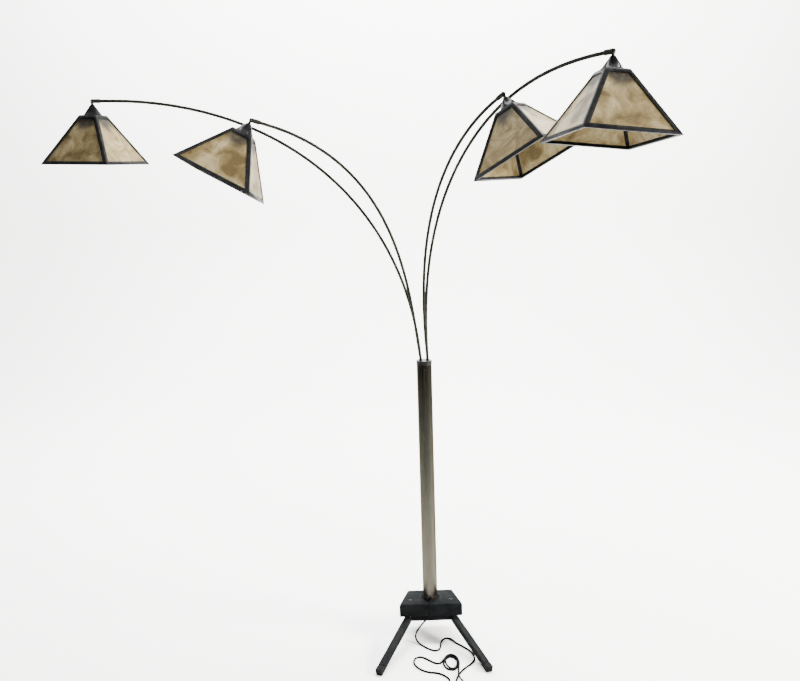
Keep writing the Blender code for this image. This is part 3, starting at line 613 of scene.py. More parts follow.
# ---- cord ---------------------------------------------------------------------------------------
CORD_DIAMETER = 6 * MM
CORD_RADIUS = CORD_DIAMETER / 2
FLOOR_Z = 3.2 * MM
TOP_Z = 9.4 * MM
CORD_ROUTE = [
    (0.000, -0.0205, 0.1372), (0.000, -0.034, 0.1372), (0.000, -0.046, 0.1364),
    (-0.001, -0.0580, 0.1300), (-0.002, -0.0635, 0.1170), (-0.005, -0.0650, 0.1000),
    (-0.014, -0.0650, 0.0850), (-0.028, -0.0655, 0.0700), (-0.042, -0.0660, 0.0530),
    (-0.053, -0.0660, 0.0350), (-0.0565, -0.0700, 0.0180), (-0.0500, -0.0790, 0.0065),
    (-0.0370, -0.0950), (-0.0150, -0.1170), (0.0060, -0.1310), (0.0220, -0.1260),
    (0.0285, -0.1050), (0.0320, -0.0790), (0.0460, -0.0590), (0.0660, -0.0620),
    (0.0830, -0.0870), (0.1100, -0.1160), (0.1280, -0.1400), (0.1370, -0.1660),
    (0.1370, -0.1910), (0.1220, -0.2160), (0.1030, -0.2370), (0.0860, -0.2600),
    (0.0740, -0.2860), (0.0660, -0.3150), (0.0660, -0.3440), (0.0800, -0.3640),
    (0.1010, -0.3600), (0.1060, -0.3390, 0.0036), (0.0920, -0.3160, 0.0062),
    (0.0810, -0.2960, 0.0090), (0.0780, -0.2780, 0.0098), (0.0790, -0.2580, 0.0096),
    (0.0815, -0.2350, 0.0094),
]
LOOP_CENTRE = (0.059, -0.204)
LOOP_HALF = (0.023, 0.037)
LOOP_OFF = 130  # the last turn leaves at this angle
TAIL_ROUTE = [
    (0.0262, -0.2000), (0.0150, -0.2070), (0.0030, -0.2020), (-0.0120, -0.1890),
    (-0.0270, -0.1750), (-0.0440, -0.1670), (-0.0600, -0.1760), (-0.0650, -0.1950),
    (-0.0600, -0.2160), (-0.0470, -0.2340), (-0.0300, -0.2480), (-0.0100, -0.2560),
    (0.0100, -0.2600), (0.0280, -0.2710), (0.0430, -0.2880), (0.0480, -0.3090, 0.0036),
    (0.0390, -0.3290, 0.0055), (0.0170, -0.3400, 0.0080), (-0.0065, -0.3410, 0.0093),
]
COIL_CENTRE = (-0.035, -0.375)
COIL_COLUMNS = (27 * MM, 33 * MM, 39 * MM)
END_ROUTE = [
    (-0.0660, -0.3416, 0.0036), (-0.0765, -0.3400, 0.0055), (-0.0865, -0.3400, 0.0080),
    (-0.0960, -0.3400, 0.0088),
]


def ease(t):
    t = min(1.0, max(0.0, t))
    return t * t * (3 - 2 * t)


def loop_turns():
    """The small oval loop: over the top, down inside, then round outside and away."""
    points = []
    start, step = 10, 15
    for degrees in range(start, 720 + LOOP_OFF + 1, step):
        lap, at = divmod(degrees, 360)
        side, height = -CORD_RADIUS, FLOOR_Z
        if lap == 0:
            side = -CORD_RADIUS * ease((at - LOOP_OFF) / 60)
            height = TOP_Z - (TOP_Z - FLOOR_Z) * ease((at - 200) / 90)
        elif lap == 1:
            side = CORD_RADIUS * (2 * ease((at - LOOP_OFF - 10) / 50) - 1)
        else:
            side = CORD_RADIUS
        angle = math.radians(at)
        points.append((LOOP_CENTRE[0] + (LOOP_HALF[0] + side) * math.cos(angle),
                       LOOP_CENTRE[1] + (LOOP_HALF[1] + side) * math.sin(angle), height))
    return points


def coil_turns():
    """The stored coil: in on the upper layer from outside to inside, out along the floor."""
    layers = [(radius, TOP_Z) for radius in COIL_COLUMNS[::-1]]
    layers += [(radius, FLOOR_Z) for radius in COIL_COLUMNS]
    points, step = [], 20
    for degrees in range(90, 360 * len(layers) + 90 + 1, step):
        lap, at = divmod(degrees - 90, 360)
        lap = min(lap, len(layers) - 1)
        radius, height = layers[lap]
        if lap > 0:
            before = layers[lap - 1]
            share = ease(at / 70) if degrees < 360 * len(layers) + 90 else 1.0
            radius = before[0] + (radius - before[0]) * share
            height = before[1] + (height - before[1]) * share
        angle = math.radians(degrees)
        points.append((COIL_CENTRE[0] + radius * math.cos(angle),
                       COIL_CENTRE[1] + radius * math.sin(angle), height))
    return points


def flex():
    """The whole cord on one smooth line, from the post's foot to the plug."""
    route = CORD_ROUTE + loop_turns() + TAIL_ROUTE + coil_turns() + END_ROUTE
    route = [p if len(p) == 3 else (*p, FLOOR_Z) for p in route]
    line = [POST + p for p in smooth_line(route, 3.5 * MM)]
    curve = bpy.data.curves.new("power_cord", "CURVE")
    curve.dimensions = "3D"
    curve.bevel_depth = CORD_RADIUS
    curve.bevel_resolution = 4
    curve.use_fill_caps = True
    spline = curve.splines.new("POLY")
    spline.points.add(len(line) - 1)
    for point, co in zip(spline.points, line):
        point.co = (*co, 1.0)
    spline.use_smooth = True
    made = link_piece("power_cord", curve, LOOKS["cord_black"])
    stands_for(made, "cord_run", "cord_loop", "cord_tail", "cord_coil", "cord_end")
    return made, line, sum((b - a).length for a, b in zip(line[:-1], line[1:]))


def plug_pieces():
    """The plug: a ribbed tapering grip, its body and two blades."""
    low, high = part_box("plug")
    axis_y, axis_z = (low.y + high.y) / 2, (low.z + high.z) / 2
    tail, back = high.x, low.x
    at = Matrix.Translation((0, axis_y, axis_z)) @ turn(90, "Y")
    profile = [(0, tail), (3.4 * MM, tail)]
    taper_start, taper_end = 3.6 * MM, 7.6 * MM
    ribs, rib_gap = 6, 3.4 * MM
    for k in range(ribs):
        height = tail - 1.5 * MM - k * rib_gap
        radius = taper_start + (taper_end - taper_start) * k / ribs
        profile += [(radius, height), (radius, height - 2.0 * MM), (radius - 1.1 * MM, height - 2.3 * MM),
                    (radius - 1.1 * MM, height - 3.1 * MM)]
    profile += [(taper_end, tail - 23.5 * MM), (0, tail - 23.5 * MM)]
    grip = link_piece("plug_grip", turned_mesh("plug_grip", profile, 40), LOOKS["cord_black"], at)
    smooth(grip, 40)
    body_front = tail - 22 * MM
    body_back = back + 17 * MM
    half_wide, half_tall = (high.y - low.y) / 2, (high.z - low.z) / 2
    body = link_piece("plug_body", box_mesh("plug_body", (body_back, axis_y - half_wide, axis_z - half_tall),
                                            (body_front, axis_y + half_wide, axis_z + half_tall)),
                      LOOKS["cord_black"])
    for vertex in body.data.vertices:
        if vertex.co.x > (body_front + body_back) / 2:
            vertex.co.y = axis_y + (vertex.co.y - axis_y) * 0.78
    bevel(body, 3.2 * MM, 5)
    smooth(baked(body), 50)
    blades = []
    for side in (-1, 1):
        y = axis_y + side * 6.35 * MM
        blade = link_piece(f"plug_blade_{'left' if side < 0 else 'right'}",
                           box_mesh("blade", (back, y - 0.75 * MM, axis_z - 3.2 * MM),
                                    (body_back + 2 * MM, y + 0.75 * MM, axis_z + 3.2 * MM)), NICKEL)
        boolean(blade, rod_mesh("hole", 1.5 * MM, -0.02, 0.02, 24),
                Matrix.Translation((back + 4 * MM, y, axis_z)) @ turn(90, "X"))
        bevel(blade, 0.5 * MM, 3)
        smooth(baked(blade), 40)
        blades.append(blade)
    stands_for(body, "plug")
    for piece in (grip, *blades):
        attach(piece, "base")
    return [body, grip, *blades]


def cord_tie():
    """A soft strap round the stored coil's turns."""
    centre = POST + Vector((*COIL_CENTRE, 0))
    inner, outer = COIL_COLUMNS[0] - CORD_RADIUS, COIL_COLUMNS[-1] + CORD_RADIUS
    half_long, half_tall = (outer - inner) / 2 + 0.5 * MM, TOP_Z / 2 + 2.3 * MM
    mid_r, mid_z = (outer + inner) / 2, FLOOR_Z / 2 + TOP_Z / 2
    corner = 3.0 * MM
    outline = []
    for quarter, (sx, sz) in enumerate(((1, 1), (-1, 1), (-1, -1), (1, -1))):
        for k in range(6):
            angle = math.radians(90 * quarter + 18 * k)
            outline.append((mid_r + sx * (half_long - corner) + corner * math.cos(angle),
                            mid_z + sz * (half_tall - corner) + corner * math.sin(angle)))
    shape = bmesh.new()
    width, thick = 7 * MM, 0.5 * MM
    rings = []
    for y, grow in ((-width / 2, 0.0), (width / 2, 0.0), (width / 2, -thick), (-width / 2, -thick)):
        ring = []
        for r, z in outline:
            toward = Vector((mid_r - r, mid_z - z)).normalized() * -grow
            ring.append(shape.verts.new((r + toward.x, y, max(z + toward.y, 0.15 * MM - grow))))
        rings.append(ring)
    count = len(outline)
    for a, b in zip(rings, rings[1:] + rings[:1]):
        for k in range(count):
            shape.faces.new((a[k], a[(k + 1) % count], b[(k + 1) % count], b[k]))
    tie = link_piece("cord_tie", mesh_from("cord_tie", shape), LOOKS["rubber_black"],
                     Matrix.Translation(centre) @ turn(200, "Z"))
    smooth(tie, 50)
    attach(tie, "base")
    return tie


power_cord, cord_line, cord_length = flex()
on_the_cord = plug_pieces() + [cord_tie()]


# ---- base ---------------------------------------------------------------------------------------
BLOCK_LOW, BLOCK_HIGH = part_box("base_block")
BLOCK_FRONT_HALF = 111 * MM
BLOCK_BACK_HALF = 80 * MM
BOLT_Y = -14 * MM
BOLT_X = 71.5 * MM
BORE_RADIUS = 29 * MM
COUNTERBORE = 7.5 * MM


def base_block():
    """The cast block: rounded edges, a chamfered bore and two counterbores."""
    shape = bmesh.new()
    bmesh.ops.create_cube(shape, size=1.0)
    for v in shape.verts:
        front = v.co.y < 0
        v.co.x = math.copysign(BLOCK_FRONT_HALF if front else BLOCK_BACK_HALF, v.co.x)
        v.co.y = (BLOCK_LOW.y if front else BLOCK_HIGH.y) - POST.y
        v.co.z = BLOCK_HIGH.z if v.co.z > 0 else BLOCK_LOW.z
    block = link_piece("base_block_fine", mesh_from("base_block", shape), LOOKS["cast_black"], AT_POST)
    bevel(block, 5 * MM, 6)
    baked(block)
    top = BLOCK_HIGH.z
    floor_of_bore = top - 33 * MM
    lip = 1.2 * MM
    bore = [(0, top + lip), (BORE_RADIUS + 2 * lip, top + lip), (BORE_RADIUS, top - lip),
            (BORE_RADIUS, floor_of_bore), (0, floor_of_bore)]
    boolean(block, turned_mesh("bore", bore, 96), AT_POST)
    for side in (-1, 1):
        lip = 0.6 * MM
        sink = [(0, top + lip), (COUNTERBORE + 2 * lip, top + lip), (COUNTERBORE, top - lip),
                (COUNTERBORE, top - 9 * MM), (0, top - 9 * MM)]
        boolean(block, turned_mesh("sink", sink, 48), AT_POST @ move(side * BOLT_X, BOLT_Y, 0))
    smooth(block, 30)
    return stands_for(block, "base_block")


def base_bolts():
    """Socket-head bolts with knurled heads and hexagon sockets."""
    top = BLOCK_HIGH.z - 1 * MM
    for side, name in ((-1, "left"), (1, "right")):
        at = AT_POST @ move(side * BOLT_X, BOLT_Y, 0)
        profile = [(0, top), *arc(5.2 * MM, top - 0.8 * MM, 0.8 * MM, 90, 0, 4), (6 * MM, top - 7.5 * MM),
                   (4 * MM, top - 7.5 * MM), (4 * MM, top - 44 * MM), (0, top - 44 * MM)]
        bolt = link_piece(f"base_bolt_{name}_fine", turned_mesh("bolt", profile, 96, 24, 0.25 * MM),
                          LOOKS["bolt_black"], at)
        boolean(bolt, rod_mesh("hex", 3 * MM, top - 4 * MM, top + 0.01, 6), at)
        smooth(bolt, 35)
        stands_for(bolt, f"base_bolt_{name}")


def feet_and_legs():
    for node in ("leg_hub",):
        refined(node, 0.5 * MM, 3)
    for side in ("front_left", "front_right", "rear"):
        refined(f"{side}_leg", 0.45 * MM, 3)
        refined(f"{side}_leg_tip", 0.35 * MM, 2)
    refined("tie_bolt", 0.4 * MM, 2)
    refined("tie_nut", 0.5 * MM, 2)


base_block()
base_bolts()
feet_and_legs()

# ---- post ---------------------------------------------------------------------------------------
SOCKET_LOW, SOCKET_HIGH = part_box("post_socket")
CAP_LOW, CAP_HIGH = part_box("post_cap")
GROMMET = middle("cord_grommet")
SCREW = middle("cap_set_screw")


def facing_front(height):
    """The frame of something that points at the front (-Y), out of the post's axis at a height."""
    return AT_POST @ move(0, 0, height) @ turn(90, "X")


def post_socket():
    """The turned socket: its ring stands in the block's bore, with the cord's hole in front."""
    low, high = SOCKET_LOW.z, SOCKET_HIGH.z
    shoulder = POST_LOW.z - 0.3 * MM
    profile = [*arc(22.4 * MM, high - 1 * MM, 1 * MM, 90, 0, 4), (23.4 * MM, shoulder),
               (23.9 * MM, shoulder), (24.4 * MM, shoulder - 0.5 * MM), (24.4 * MM, low), (5.5 * MM, low),
               (5.5 * MM, low + 6 * MM), (19 * MM, low + 6 * MM), (19 * MM, high)]
    socket = link_piece("post_socket_fine", turned_mesh("post_socket", profile, 96), LOOKS["steel_dark"],
                        AT_POST)
    boolean(socket, rod_mesh("hole", 5.2 * MM, 0.01, 0.04, 48), facing_front(GROMMET.z))
    smooth(socket, 30)
    return stands_for(socket, "post_socket")


def post_tube():
    """The post, with turned-in edges and the set screw's hole."""
    radius, wall, edge = (POST_HIGH.x - POST_LOW.x) / 2, 1.6 * MM, 0.5 * MM
    inner, low, high = radius - wall, POST_LOW.z, POST_HIGH.z
    profile = [*arc(radius - edge, high - edge, edge, 90, 0, 4),
               *arc(radius - edge, low + edge, edge, 0, -90, 4),
               (inner, low), (inner, high)]
    tube = link_piece("post_tube_fine", turned_mesh("post_tube", profile, 128), LOOKS["steel"], AT_POST)
    boolean(tube, rod_mesh("hole", 2.0 * MM, 0.02, 0.03, 32), facing_front(SCREW.z))
    smooth(tube, 30)
    return stands_for(tube, "post_tube")


def post_cap():
    """The cap: a rounded head over the post and the plug inside it, bored for the four arms."""
    low, high, neck = CAP_LOW.z, CAP_HIGH.z, POST_HIGH.z + 0.3 * MM
    radius, edge = (CAP_HIGH.x - CAP_LOW.x) / 2, 1.8 * MM
    profile = [(0, high), *arc(radius - edge, high - edge, edge, 90, 0, 6), (radius, neck + 0.4 * MM),
               (radius - 0.4 * MM, neck), (23.4 * MM, neck), (23.4 * MM, low), (0, low)]
    cap = link_piece("post_cap_fine", turned_mesh("post_cap", profile, 96), LOOKS["bolt_black"], AT_POST)
    for n in LAMPS:
        pos = Vector(JOINTS[f"arm_{n}_swivel"]["pos_m"])
        at = Matrix.Translation((pos.x, pos.y, 0))
        lip = 0.5 * MM
        bore = [(0, high + lip), (5.2 * MM + 2 * lip, high + lip), (5.2 * MM, high - lip),
                (5.2 * MM, pos.z), (0, pos.z)]
        boolean(cap, turned_mesh("bore", bore, 40), at)
        boolean(cap, rod_mesh("wire_hole", 3.4 * MM, low - 0.01, pos.z + 0.005, 24), at)
    boolean(cap, rod_mesh("hole", 2.0 * MM, 0.0165, 0.03, 24), facing_front(SCREW.z))
    smooth(cap, 30)
    return stands_for(cap, "post_cap")


def small_post_parts():
    """Gasket, grommet and set screw."""
    low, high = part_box("socket_gasket")
    inner, outer = 24.7 * MM, 28.7 * MM
    profile = [(outer, high.z - 1 * MM), (outer, low.z), (inner, low.z), (inner, high.z - 1 * MM),
               *arc((inner + outer) / 2, high.z - 1 * MM, (outer - inner) / 2, 180, 0, 8)[1:-1]]
    gasket = link_piece("socket_gasket_fine", turned_mesh("gasket", profile, 96), LOOKS["rubber_black"],
                        AT_POST)
    smooth(gasket, 40)
    stands_for(gasket, "socket_gasket")
    flange, sleeve, bore = 6.1 * MM, 4.9 * MM, 3.3 * MM
    face, seat, inside = 25.6 * MM, 24.7 * MM, 18.0 * MM
    profile = [(bore, face - 0.3 * MM), (bore + 0.4 * MM, face), (flange - 0.4 * MM, face),
               (flange, face - 0.4 * MM), (flange, seat), (sleeve, seat), (sleeve, inside), (bore, inside)]
    grommet = link_piece("cord_grommet_fine", turned_mesh("grommet", profile, 48), LOOKS["rubber_black"],
                         facing_front(GROMMET.z))
    smooth(grommet, 35)
    stands_for(grommet, "cord_grommet")
    out, back = 25.0 * MM, 17.0 * MM
    profile = [(0, out), (1.5 * MM, out), (1.7 * MM, out - 0.2 * MM)]
    for k in range(9):
        height = out - 0.5 * MM - k * 0.8 * MM
        profile += [(1.7 * MM, height), (1.45 * MM, height - 0.4 * MM)]
    profile += [(1.5 * MM, back), (0, back)]
    screw = link_piece("cap_set_screw_fine", turned_mesh("set_screw", profile, 32), LOOKS["bolt_black"],
                       facing_front(SCREW.z))
    boolean(screw, rod_mesh("hex", 0.9 * MM, out - 1.5 * MM, out + 0.01, 6), facing_front(SCREW.z))
    smooth(screw, 35)
    stands_for(screw, "cap_set_screw")


post_socket()
post_tube()
post_cap()
small_post_parts()

# ---- arms ---------------------------------------------------------------------------------------
ARM_RADIUS = 4.8 * MM


def arm_tube(n):
    """A bent tube on the arm's smooth line, open at both ends."""
    line = smooth_line(arm_rings(n), 7 * MM)
    curve = bpy.data.curves.new(f"arm_{n}_line", "CURVE")
    curve.dimensions = "3D"
    curve.bevel_depth = ARM_RADIUS
    curve.bevel_resolution = 6
    spline = curve.splines.new("POLY")
    spline.points.add(len(line) - 1)
    for point, co in zip(spline.points, line):
        point.co = (*co, 1.0)
    tube = link_piece(f"arm_{n}_tube", curve, LOOKS["arm_bronze"])
    graph = bpy.context.evaluated_depsgraph_get()
    mesh = bpy.data.meshes.new_from_object(tube.evaluated_get(graph))
    bpy.data.objects.remove(tube)
    made = link_piece(f"arm_{n}_tube", mesh, LOOKS["arm_bronze"])
    mesh.materials.clear()
    mesh.materials.append(LOOKS["arm_bronze"])
    wall = made.modifiers.new("wall", "SOLIDIFY")
    wall.thickness = 1 * MM
    wall.offset = -1
    smooth(baked(made), 40)
    return stands_for(made, f"arm_{n}")


def sleeve(n):
    """The knuckle: a collar and a rounded end, slotted from below for the cup's tongue."""
    at = knuckle_matrix(n)
    radius, nose = 6.5 * MM, 5.5 * MM
    mouth, seat = -27 * MM, -11.2 * MM
    bore = 5.2 * MM
    profile = [(0, nose), *arc(0, nose - radius, radius, 84, 0, 12), (radius, -9.4 * MM),
               (radius - 0.35 * MM, -9.8 * MM), (radius - 0.35 * MM, -10.8 * MM), (radius, -11.2 * MM),
               (radius, mouth + 1.2 * MM), (radius - 0.3 * MM, mouth + 0.4 * MM), (radius - 0.8 * MM, mouth),
               (bore, mouth), (bore, seat), (0, seat)]
    made = link_piece(f"knuckle_sleeve_{n}_fine", turned_mesh("sleeve", profile, 56), LOOKS["arm_bronze"],
                      at @ turn(90, "Y"))
    boolean(made, box_mesh("slot", (-9 * MM, -2.3 * MM, -20 * MM), (20 * MM, 2.3 * MM, 4.2 * MM)), at)
    boolean(made, rod_mesh("hole", 1.8 * MM, -0.02, 0.02, 24), at @ turn(90, "X"))
    bevel(made, 0.25 * MM, 2)
    smooth(baked(made), 35)
    stands_for(made, f"knuckle_sleeve_{n}")
    end, edge = 6.0 * MM, 0.3 * MM
    r = 1.5 * MM
    profile = [(0, end), *arc(r - edge, end - edge, edge, 90, 0, 3),
               *arc(r - edge, -end + edge, edge, 0, -90, 3),
               (0, -end)]
    pin = link_piece(f"knuckle_pin_{n}_fine", turned_mesh("pin", profile, 32), LOOKS["steel_dark"],
                     at @ turn(90, "X"))
    smooth(pin, 35)
    stands_for(pin, f"knuckle_pin_{n}")


# ---- shades -------------------------------------------------------------------------------------
CUP_TOP = -11 * MM
SHADE_TOP = -43.5 * MM
SHADE_TALL = 153 * MM
SHADE_BOTTOM_HALF = 119 * MM
SHADE_TOP_HALF = 30 * MM
SLANT = (SHADE_BOTTOM_HALF - SHADE_TOP_HALF) / SHADE_TALL
SHADE_BOTTOM = SHADE_TOP - SHADE_TALL
SHEET = 1.5 * MM
CORNER_STRIP = 12 * MM
RIM_STRIP = 10.5 * MM
TOP_STRIP = 12 * MM
RIM_LIP = 9.5 * MM
PANE = 1.2 * MM
LAP = 2 * MM  # a pane's edge behind its window's edge
HOLDER_HOLE = 18.2 * MM


def half_at(height):
    """Half the shade's outer width at a height on its axis."""
    return SHADE_TOP_HALF + SLANT * (SHADE_TOP - height)


def cone_cup(n):
    """The polished cone: a turned shell with a collar and a rolled rim, and the knuckle's tongue."""
    at = lamp_matrix(n)
    rim = SHADE_TOP + 0.3 * MM
    profile = [(0, CUP_TOP), (5.4 * MM, CUP_TOP), *arc(5.9 * MM, CUP_TOP - 1.1 * MM, 1.1 * MM, 90, 10, 5),
               (7.3 * MM, CUP_TOP - 2.2 * MM), (26.6 * MM, rim + 2.4 * MM),
               *arc(27.0 * MM, rim + 1.0 * MM, 1.0 * MM, 40, -90, 7), (26.3 * MM, rim),
               (25.8 * MM, rim + 1.2 * MM), (6.2 * MM, CUP_TOP - 2.4 * MM), (0, CUP_TOP - 2.4 * MM)]
    cup = link_piece(f"cone_cup_{n}_fine", turned_mesh("cone_cup", profile, 96), LOOKS["cup_black"], at)
    boolean(cup, box_mesh("tongue", (-3.5 * MM, -2 * MM, CUP_TOP - 1 * MM), (3.5 * MM, 2 * MM, 0)), at,
            "UNION")
    boolean(cup, rod_mesh("eye", 3.5 * MM, -2 * MM, 2 * MM, 40), at @ turn(90, "X"), "UNION")
    boolean(cup, rod_mesh("hole", 1.8 * MM, -0.01, 0.01, 24), at @ turn(90, "X"))
    smooth(cup, 30)
    stands_for(cup, f"cone_cup_{n}")


def holder_and_bulb(n):
    """The lamp holder with its ribs, the notched clamping ring and the globe bulb."""
    at = lamp_matrix(n)
    r, end = 17 * MM, -81 * MM
    profile = [(0, -16.5 * MM), (6.5 * MM, -16.5 * MM), (r, -36 * MM), (r, -49 * MM)]
    for k in range(5):
        height = -56 * MM - k * 3 * MM
        profile += [(r, height), (r - 0.5 * MM, height - 0.4 * MM), (r - 0.5 * MM, height - 1.2 * MM),
                    (r, height - 1.6 * MM)]
    profile += [*arc(r - 0.8 * MM, end + 0.8 * MM, 0.8 * MM, 0, -90, 4), (14.6 * MM, end),
                (14.2 * MM, end + 0.4 * MM), (14.2 * MM, -56 * MM), (0, -56 * MM)]
    holder = link_piece(f"bulb_socket_{n}_fine", turned_mesh("holder", profile, 64), LOOKS["bakelite"], at)
    smooth(holder, 30)
    stands_for(holder, f"bulb_socket_{n}")
    top = SHADE_TOP - SHEET - 0.3 * MM
    profile = [(25.5 * MM, top), (25.5 * MM, top - 4.5 * MM), (23.5 * MM, top - 6.5 * MM),
               (17.6 * MM, top - 6.5 * MM), (17.6 * MM, top)]
    ring = link_piece(f"shade_ring_{n}_fine", turned_mesh("ring", profile, 144, 18, 0.9 * MM),
                      LOOKS["bolt_black"], at)
    bevel(ring, 0.3 * MM, 2, 40)
    smooth(baked(ring), 35)
    stands_for(ring, f"shade_ring_{n}")
    globe, centre, wall = 25 * MM, -125 * MM, 1 * MM
    outer, inner = [], []
    for chain, size, inset in ((outer, globe, 0.0), (inner, globe - wall, wall)):
        chain += [(13.0 * MM - inset, -57 * MM), (13.0 * MM - inset, -84 * MM), (13.2 * MM - inset, -90 * MM),
                  (14.2 * MM - inset, -96 * MM), (15.6 * MM - inset, -101.5 * MM)]
        chain += [(size * math.sin(math.radians(d)), centre + size * math.cos(math.radians(d)))
                  for d in range(48, 180, 6)]
        chain.append((0, centre - size))
    bulb = link_piece(f"bulb_{n}_fine", turned_mesh("bulb", inner[::-1] + outer, 64), LOOKS["bulb_glass"], at)
    smooth(bulb, 40)
    stands_for(bulb, f"bulb_{n}")


def shade_frame(n):
    """The folded metal frame: four pierced sides, the lipped rim and the top plate."""
    shape = bmesh.new()
    fold = SHEET * math.hypot(1, SLANT)
    low, high = SHADE_BOTTOM + RIM_STRIP, SHADE_TOP - TOP_STRIP
    lip = SHADE_BOTTOM_HALF - RIM_LIP - 1 * MM

    def ring(half, height):
        """The four corners of a level square."""
        return [shape.verts.new((sx * half, sy * half, height))
                for sx, sy in ((1, -1), (1, 1), (-1, 1), (-1, -1))]

    def windows(inset, height):
        """On each side, the two corners of its window at a height."""
        half = half_at(height)
        made = []
        for side in range(4):
            spin = Matrix.Rotation(math.pi / 2 * side, 3, "Z")
            made.append([shape.verts.new(spin @ Vector((half - inset, s * (half - CORNER_STRIP), height)))
                         for s in (-1, 1)])
        return made

    skins = []
    skin_ends = ((0.0, SHADE_BOTTOM, SHADE_TOP), (fold, SHADE_BOTTOM + SHEET, SHADE_TOP - SHEET))
    for inset, foot, head in skin_ends:
        skins.append(dict(a=ring(half_at(foot) - inset, foot), b=ring(half_at(low) - inset, low),
                          c=ring(half_at(high) - inset, high), d=ring(half_at(head) - inset, head),
                          wb=windows(inset, low), wc=windows(inset, high)))
    for skin in skins:
        for i in range(4):
            j = (i + 1) % 4
            (bl, br), (cl, cr) = skin["wb"][i], skin["wc"][i]
            shape.faces.new((skin["a"][i], skin["a"][j], skin["b"][j], br, bl, skin["b"][i]))
            shape.faces.new((skin["b"][i], bl, cl, skin["c"][i]))
            shape.faces.new((br, skin["b"][j], skin["c"][j], cr))
            shape.faces.new((skin["c"][i], cl, cr, skin["c"][j], skin["d"][j], skin["d"][i]))
    outer, inner = skins
    for i in range(4):
        (bl, br), (cl, cr) = outer["wb"][i], outer["wc"][i]
        (dl, dr), (el, er) = inner["wb"][i], inner["wc"][i]
        for quad in ((bl, br, dr, dl), (br, cr, er, dr), (cr, cl, el, er), (cl, bl, dl, el)):
            shape.faces.new(quad)
    lips = [ring(lip, SHADE_BOTTOM), ring(lip, SHADE_BOTTOM + SHEET)]
    for i in range(4):
        j = (i + 1) % 4
        shape.faces.new((outer["a"][i], lips[0][i], lips[0][j], outer["a"][j]))
        shape.faces.new((lips[0][i], lips[1][i], lips[1][j], lips[0][j]))
        shape.faces.new((lips[1][i], inner["a"][i], inner["a"][j], lips[1][j]))
    steps = 16
    rims = []
    for skin, height in ((outer, SHADE_TOP), (inner, SHADE_TOP - SHEET)):
        rim = [shape.verts.new((HOLDER_HOLE * math.cos(math.pi / 2 * k / steps - math.pi / 4),
                                HOLDER_HOLE * math.sin(math.pi / 2 * k / steps - math.pi / 4), height))
               for k in range(4 * steps)]
        for i in range(4):
            bow = [rim[(steps * i + k) % (4 * steps)] for k in range(steps + 1)]
            shape.faces.new((skin["d"][i], skin["d"][(i + 1) % 4], *bow[::-1]))
        rims.append(rim)
    for k in range(4 * steps):
        after = (k + 1) % (4 * steps)
        shape.faces.new((rims[0][k], rims[0][after], rims[1][after], rims[1][k]))
    made = link_piece(f"shade_frame_{n}_fine", mesh_from("shade_frame", shape), LOOKS["frame_bronze"],
                      shade_matrix(n))
    bevel(made, 0.45 * MM, 3, 15)
    smooth(baked(made), 35)
    stands_for(made, f"shade_frame_{n}")


def mica_panes(n):
    """Four slightly uneven panes behind the frame, with painted shade of the lamp holder near the cup."""
    shape = bmesh.new()
    painted_holder_shade = shape.verts.layers.float.new("painted_holder_shade")
    inset = (SHEET + 0.35 * MM) * math.hypot(1, SLANT)
    high, low = SHADE_TOP - TOP_STRIP + LAP, SHADE_BOTTOM + RIM_STRIP - LAP
    rows, columns = 44, 48
    slope = Vector((1, 0, SLANT)).normalized()
    for side in range(4):
        spin = Matrix.Rotation(math.pi / 2 * side, 3, "Z")
        seed = Vector((7.3 * n, 3.1 * side, 1.7))
        sheets = []
        for depth in (0.0, PANE):
            grid = []
            for row in range(rows + 1):
                height = high + (low - high) * row / rows
                half = half_at(height) - inset
                width = half_at(height) - CORNER_STRIP + LAP
                line = []
                for column in range(columns + 1):
                    y = width * (2 * column / columns - 1)
                    near_edge = min(row, rows - row, column, columns - column)
                    wave = 0.35 * MM * noise.noise(Vector((y, height, 0)) * 30 + seed) * min(1, near_edge / 6)
                    at = Vector((half, y, height)) - slope * (depth + abs(wave))
                    vertex = shape.verts.new(spin @ at)
                    # painted shade of the lamp holder: strongest at the pane's top middle, fading away from it
                    reach = math.hypot(y / 0.030, (SHADE_TOP - height) / 0.036)
                    vertex[painted_holder_shade] = 0.97 * ease(1.75 - reach)
                    line.append(vertex)
                grid.append(line)
            sheets.append(grid)
        front, back = sheets
        for row in range(rows):
            for column in range(columns):
                for grid in sheets:
                    shape.faces.new((grid[row][column], grid[row + 1][column], grid[row + 1][column + 1],
                                     grid[row][column + 1]))
        border = [(0, c) for c in range(columns)] + [(r, columns) for r in range(rows)]
        border += [(rows, c) for c in range(columns, 0, -1)] + [(r, 0) for r in range(rows, 0, -1)]
        for k, (row, column) in enumerate(border):
            r2, c2 = border[(k + 1) % len(border)]
            shape.faces.new((front[row][column], front[r2][c2], back[r2][c2], back[row][column]))
    made = link_piece(f"mica_panes_{n}", mesh_from("mica_panes", shape), LOOKS["mica"], shade_matrix(n))
    smooth(made, 40)
    stands_for(made, f"mica_panels_{n}")


for lamp in LAMPS:
    arm_tube(lamp)
    sleeve(lamp)
    cone_cup(lamp)
    holder_and_bulb(lamp)
    shade_frame(lamp)
    mica_panes(lamp)


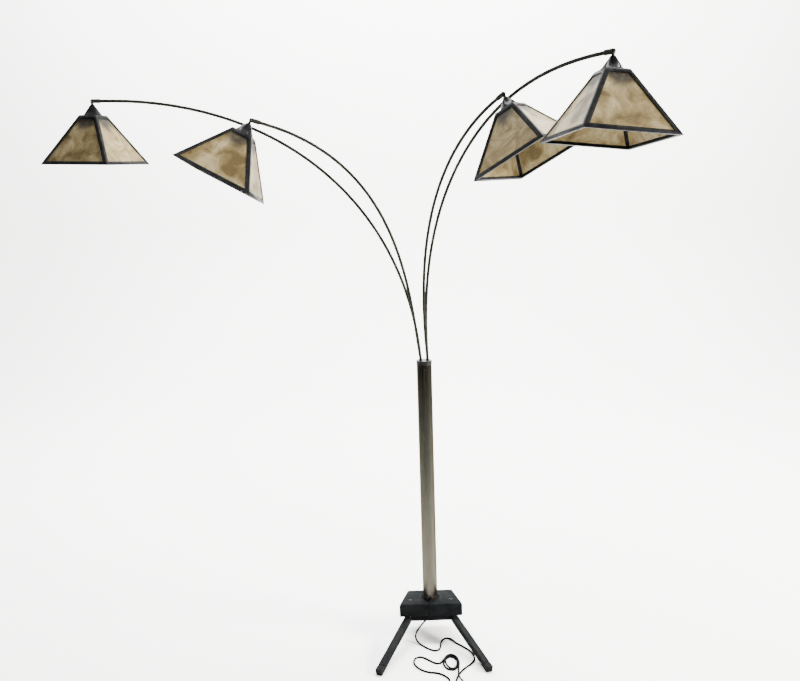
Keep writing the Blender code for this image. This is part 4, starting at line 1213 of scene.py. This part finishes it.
# ---- studio -------------------------------------------------------------------------------------
def floor():
    """A plain pale floor that sweeps up into a wall far behind."""
    look = Look("floor", (0.86, 0.86, 0.85), 0.75)
    shape = bmesh.new()
    wide, front, back, bend, tall = 14.0, -7.0, 3.2, 1.4, 6.0
    line = [(front, 0.0), (back, 0.0)]
    line += [(back + bend * math.sin(math.radians(a)), bend * (1 - math.cos(math.radians(a))))
             for a in range(6, 91, 6)]
    line.append((back + bend, tall))
    rows = [[shape.verts.new((x, y, z)) for x in (-wide, wide)] for y, z in line]
    for a, b in zip(rows[:-1], rows[1:]):
        shape.faces.new((a[0], a[1], b[1], b[0]))
    made = link_piece("floor", mesh_from("floor", shape), look.material)
    for face in made.data.polygons:
        face.use_smooth = True
    if made.data.polygons[0].normal.z < 0:
        made.data.flip_normals()


def softbox(name, at, toward, size, power, colour=(1.0, 1.0, 1.0)):
    light = bpy.data.lights.new(name, "AREA")
    light.shape = "RECTANGLE"
    light.size, light.size_y = size
    light.energy = power
    light.color = colour
    made = bpy.data.objects.new(name, light)
    bpy.context.scene.collection.objects.link(made)
    at, toward = POST + Vector(at), POST + Vector(toward)
    made.matrix_world = Matrix.Translation(at) @ (toward - at).to_track_quat("-Z", "Y").to_matrix().to_4x4()


def studio():
    world = bpy.data.worlds.new("studio")
    world.use_nodes = True
    world.node_tree.nodes["Background"].inputs["Color"].default_value = (1.0, 1.0, 1.0, 1.0)
    world.node_tree.nodes["Background"].inputs["Strength"].default_value = 0.10
    bpy.context.scene.world = world
    softbox("key", (4.0, -1.2, 2.7), (0, 0, 1.5), (1.2, 1.2), 900, (1.0, 0.96, 0.90))
    softbox("rim", (2.0, 2.2, 3.0), (-0.4, 0, 1.6), (1.6, 1.2), 60, (1.0, 0.96, 0.90))
    softbox("backdrop", (0, 1.6, 5.4), (0, 3.6, 1.2), (7.0, 1.6), 2100)
    softbox("top", (0.0, 0.9, 4.8), (0, 0.6, 0), (5.0, 2.0), 330, (1.0, 0.99, 0.97))


floor()
studio()
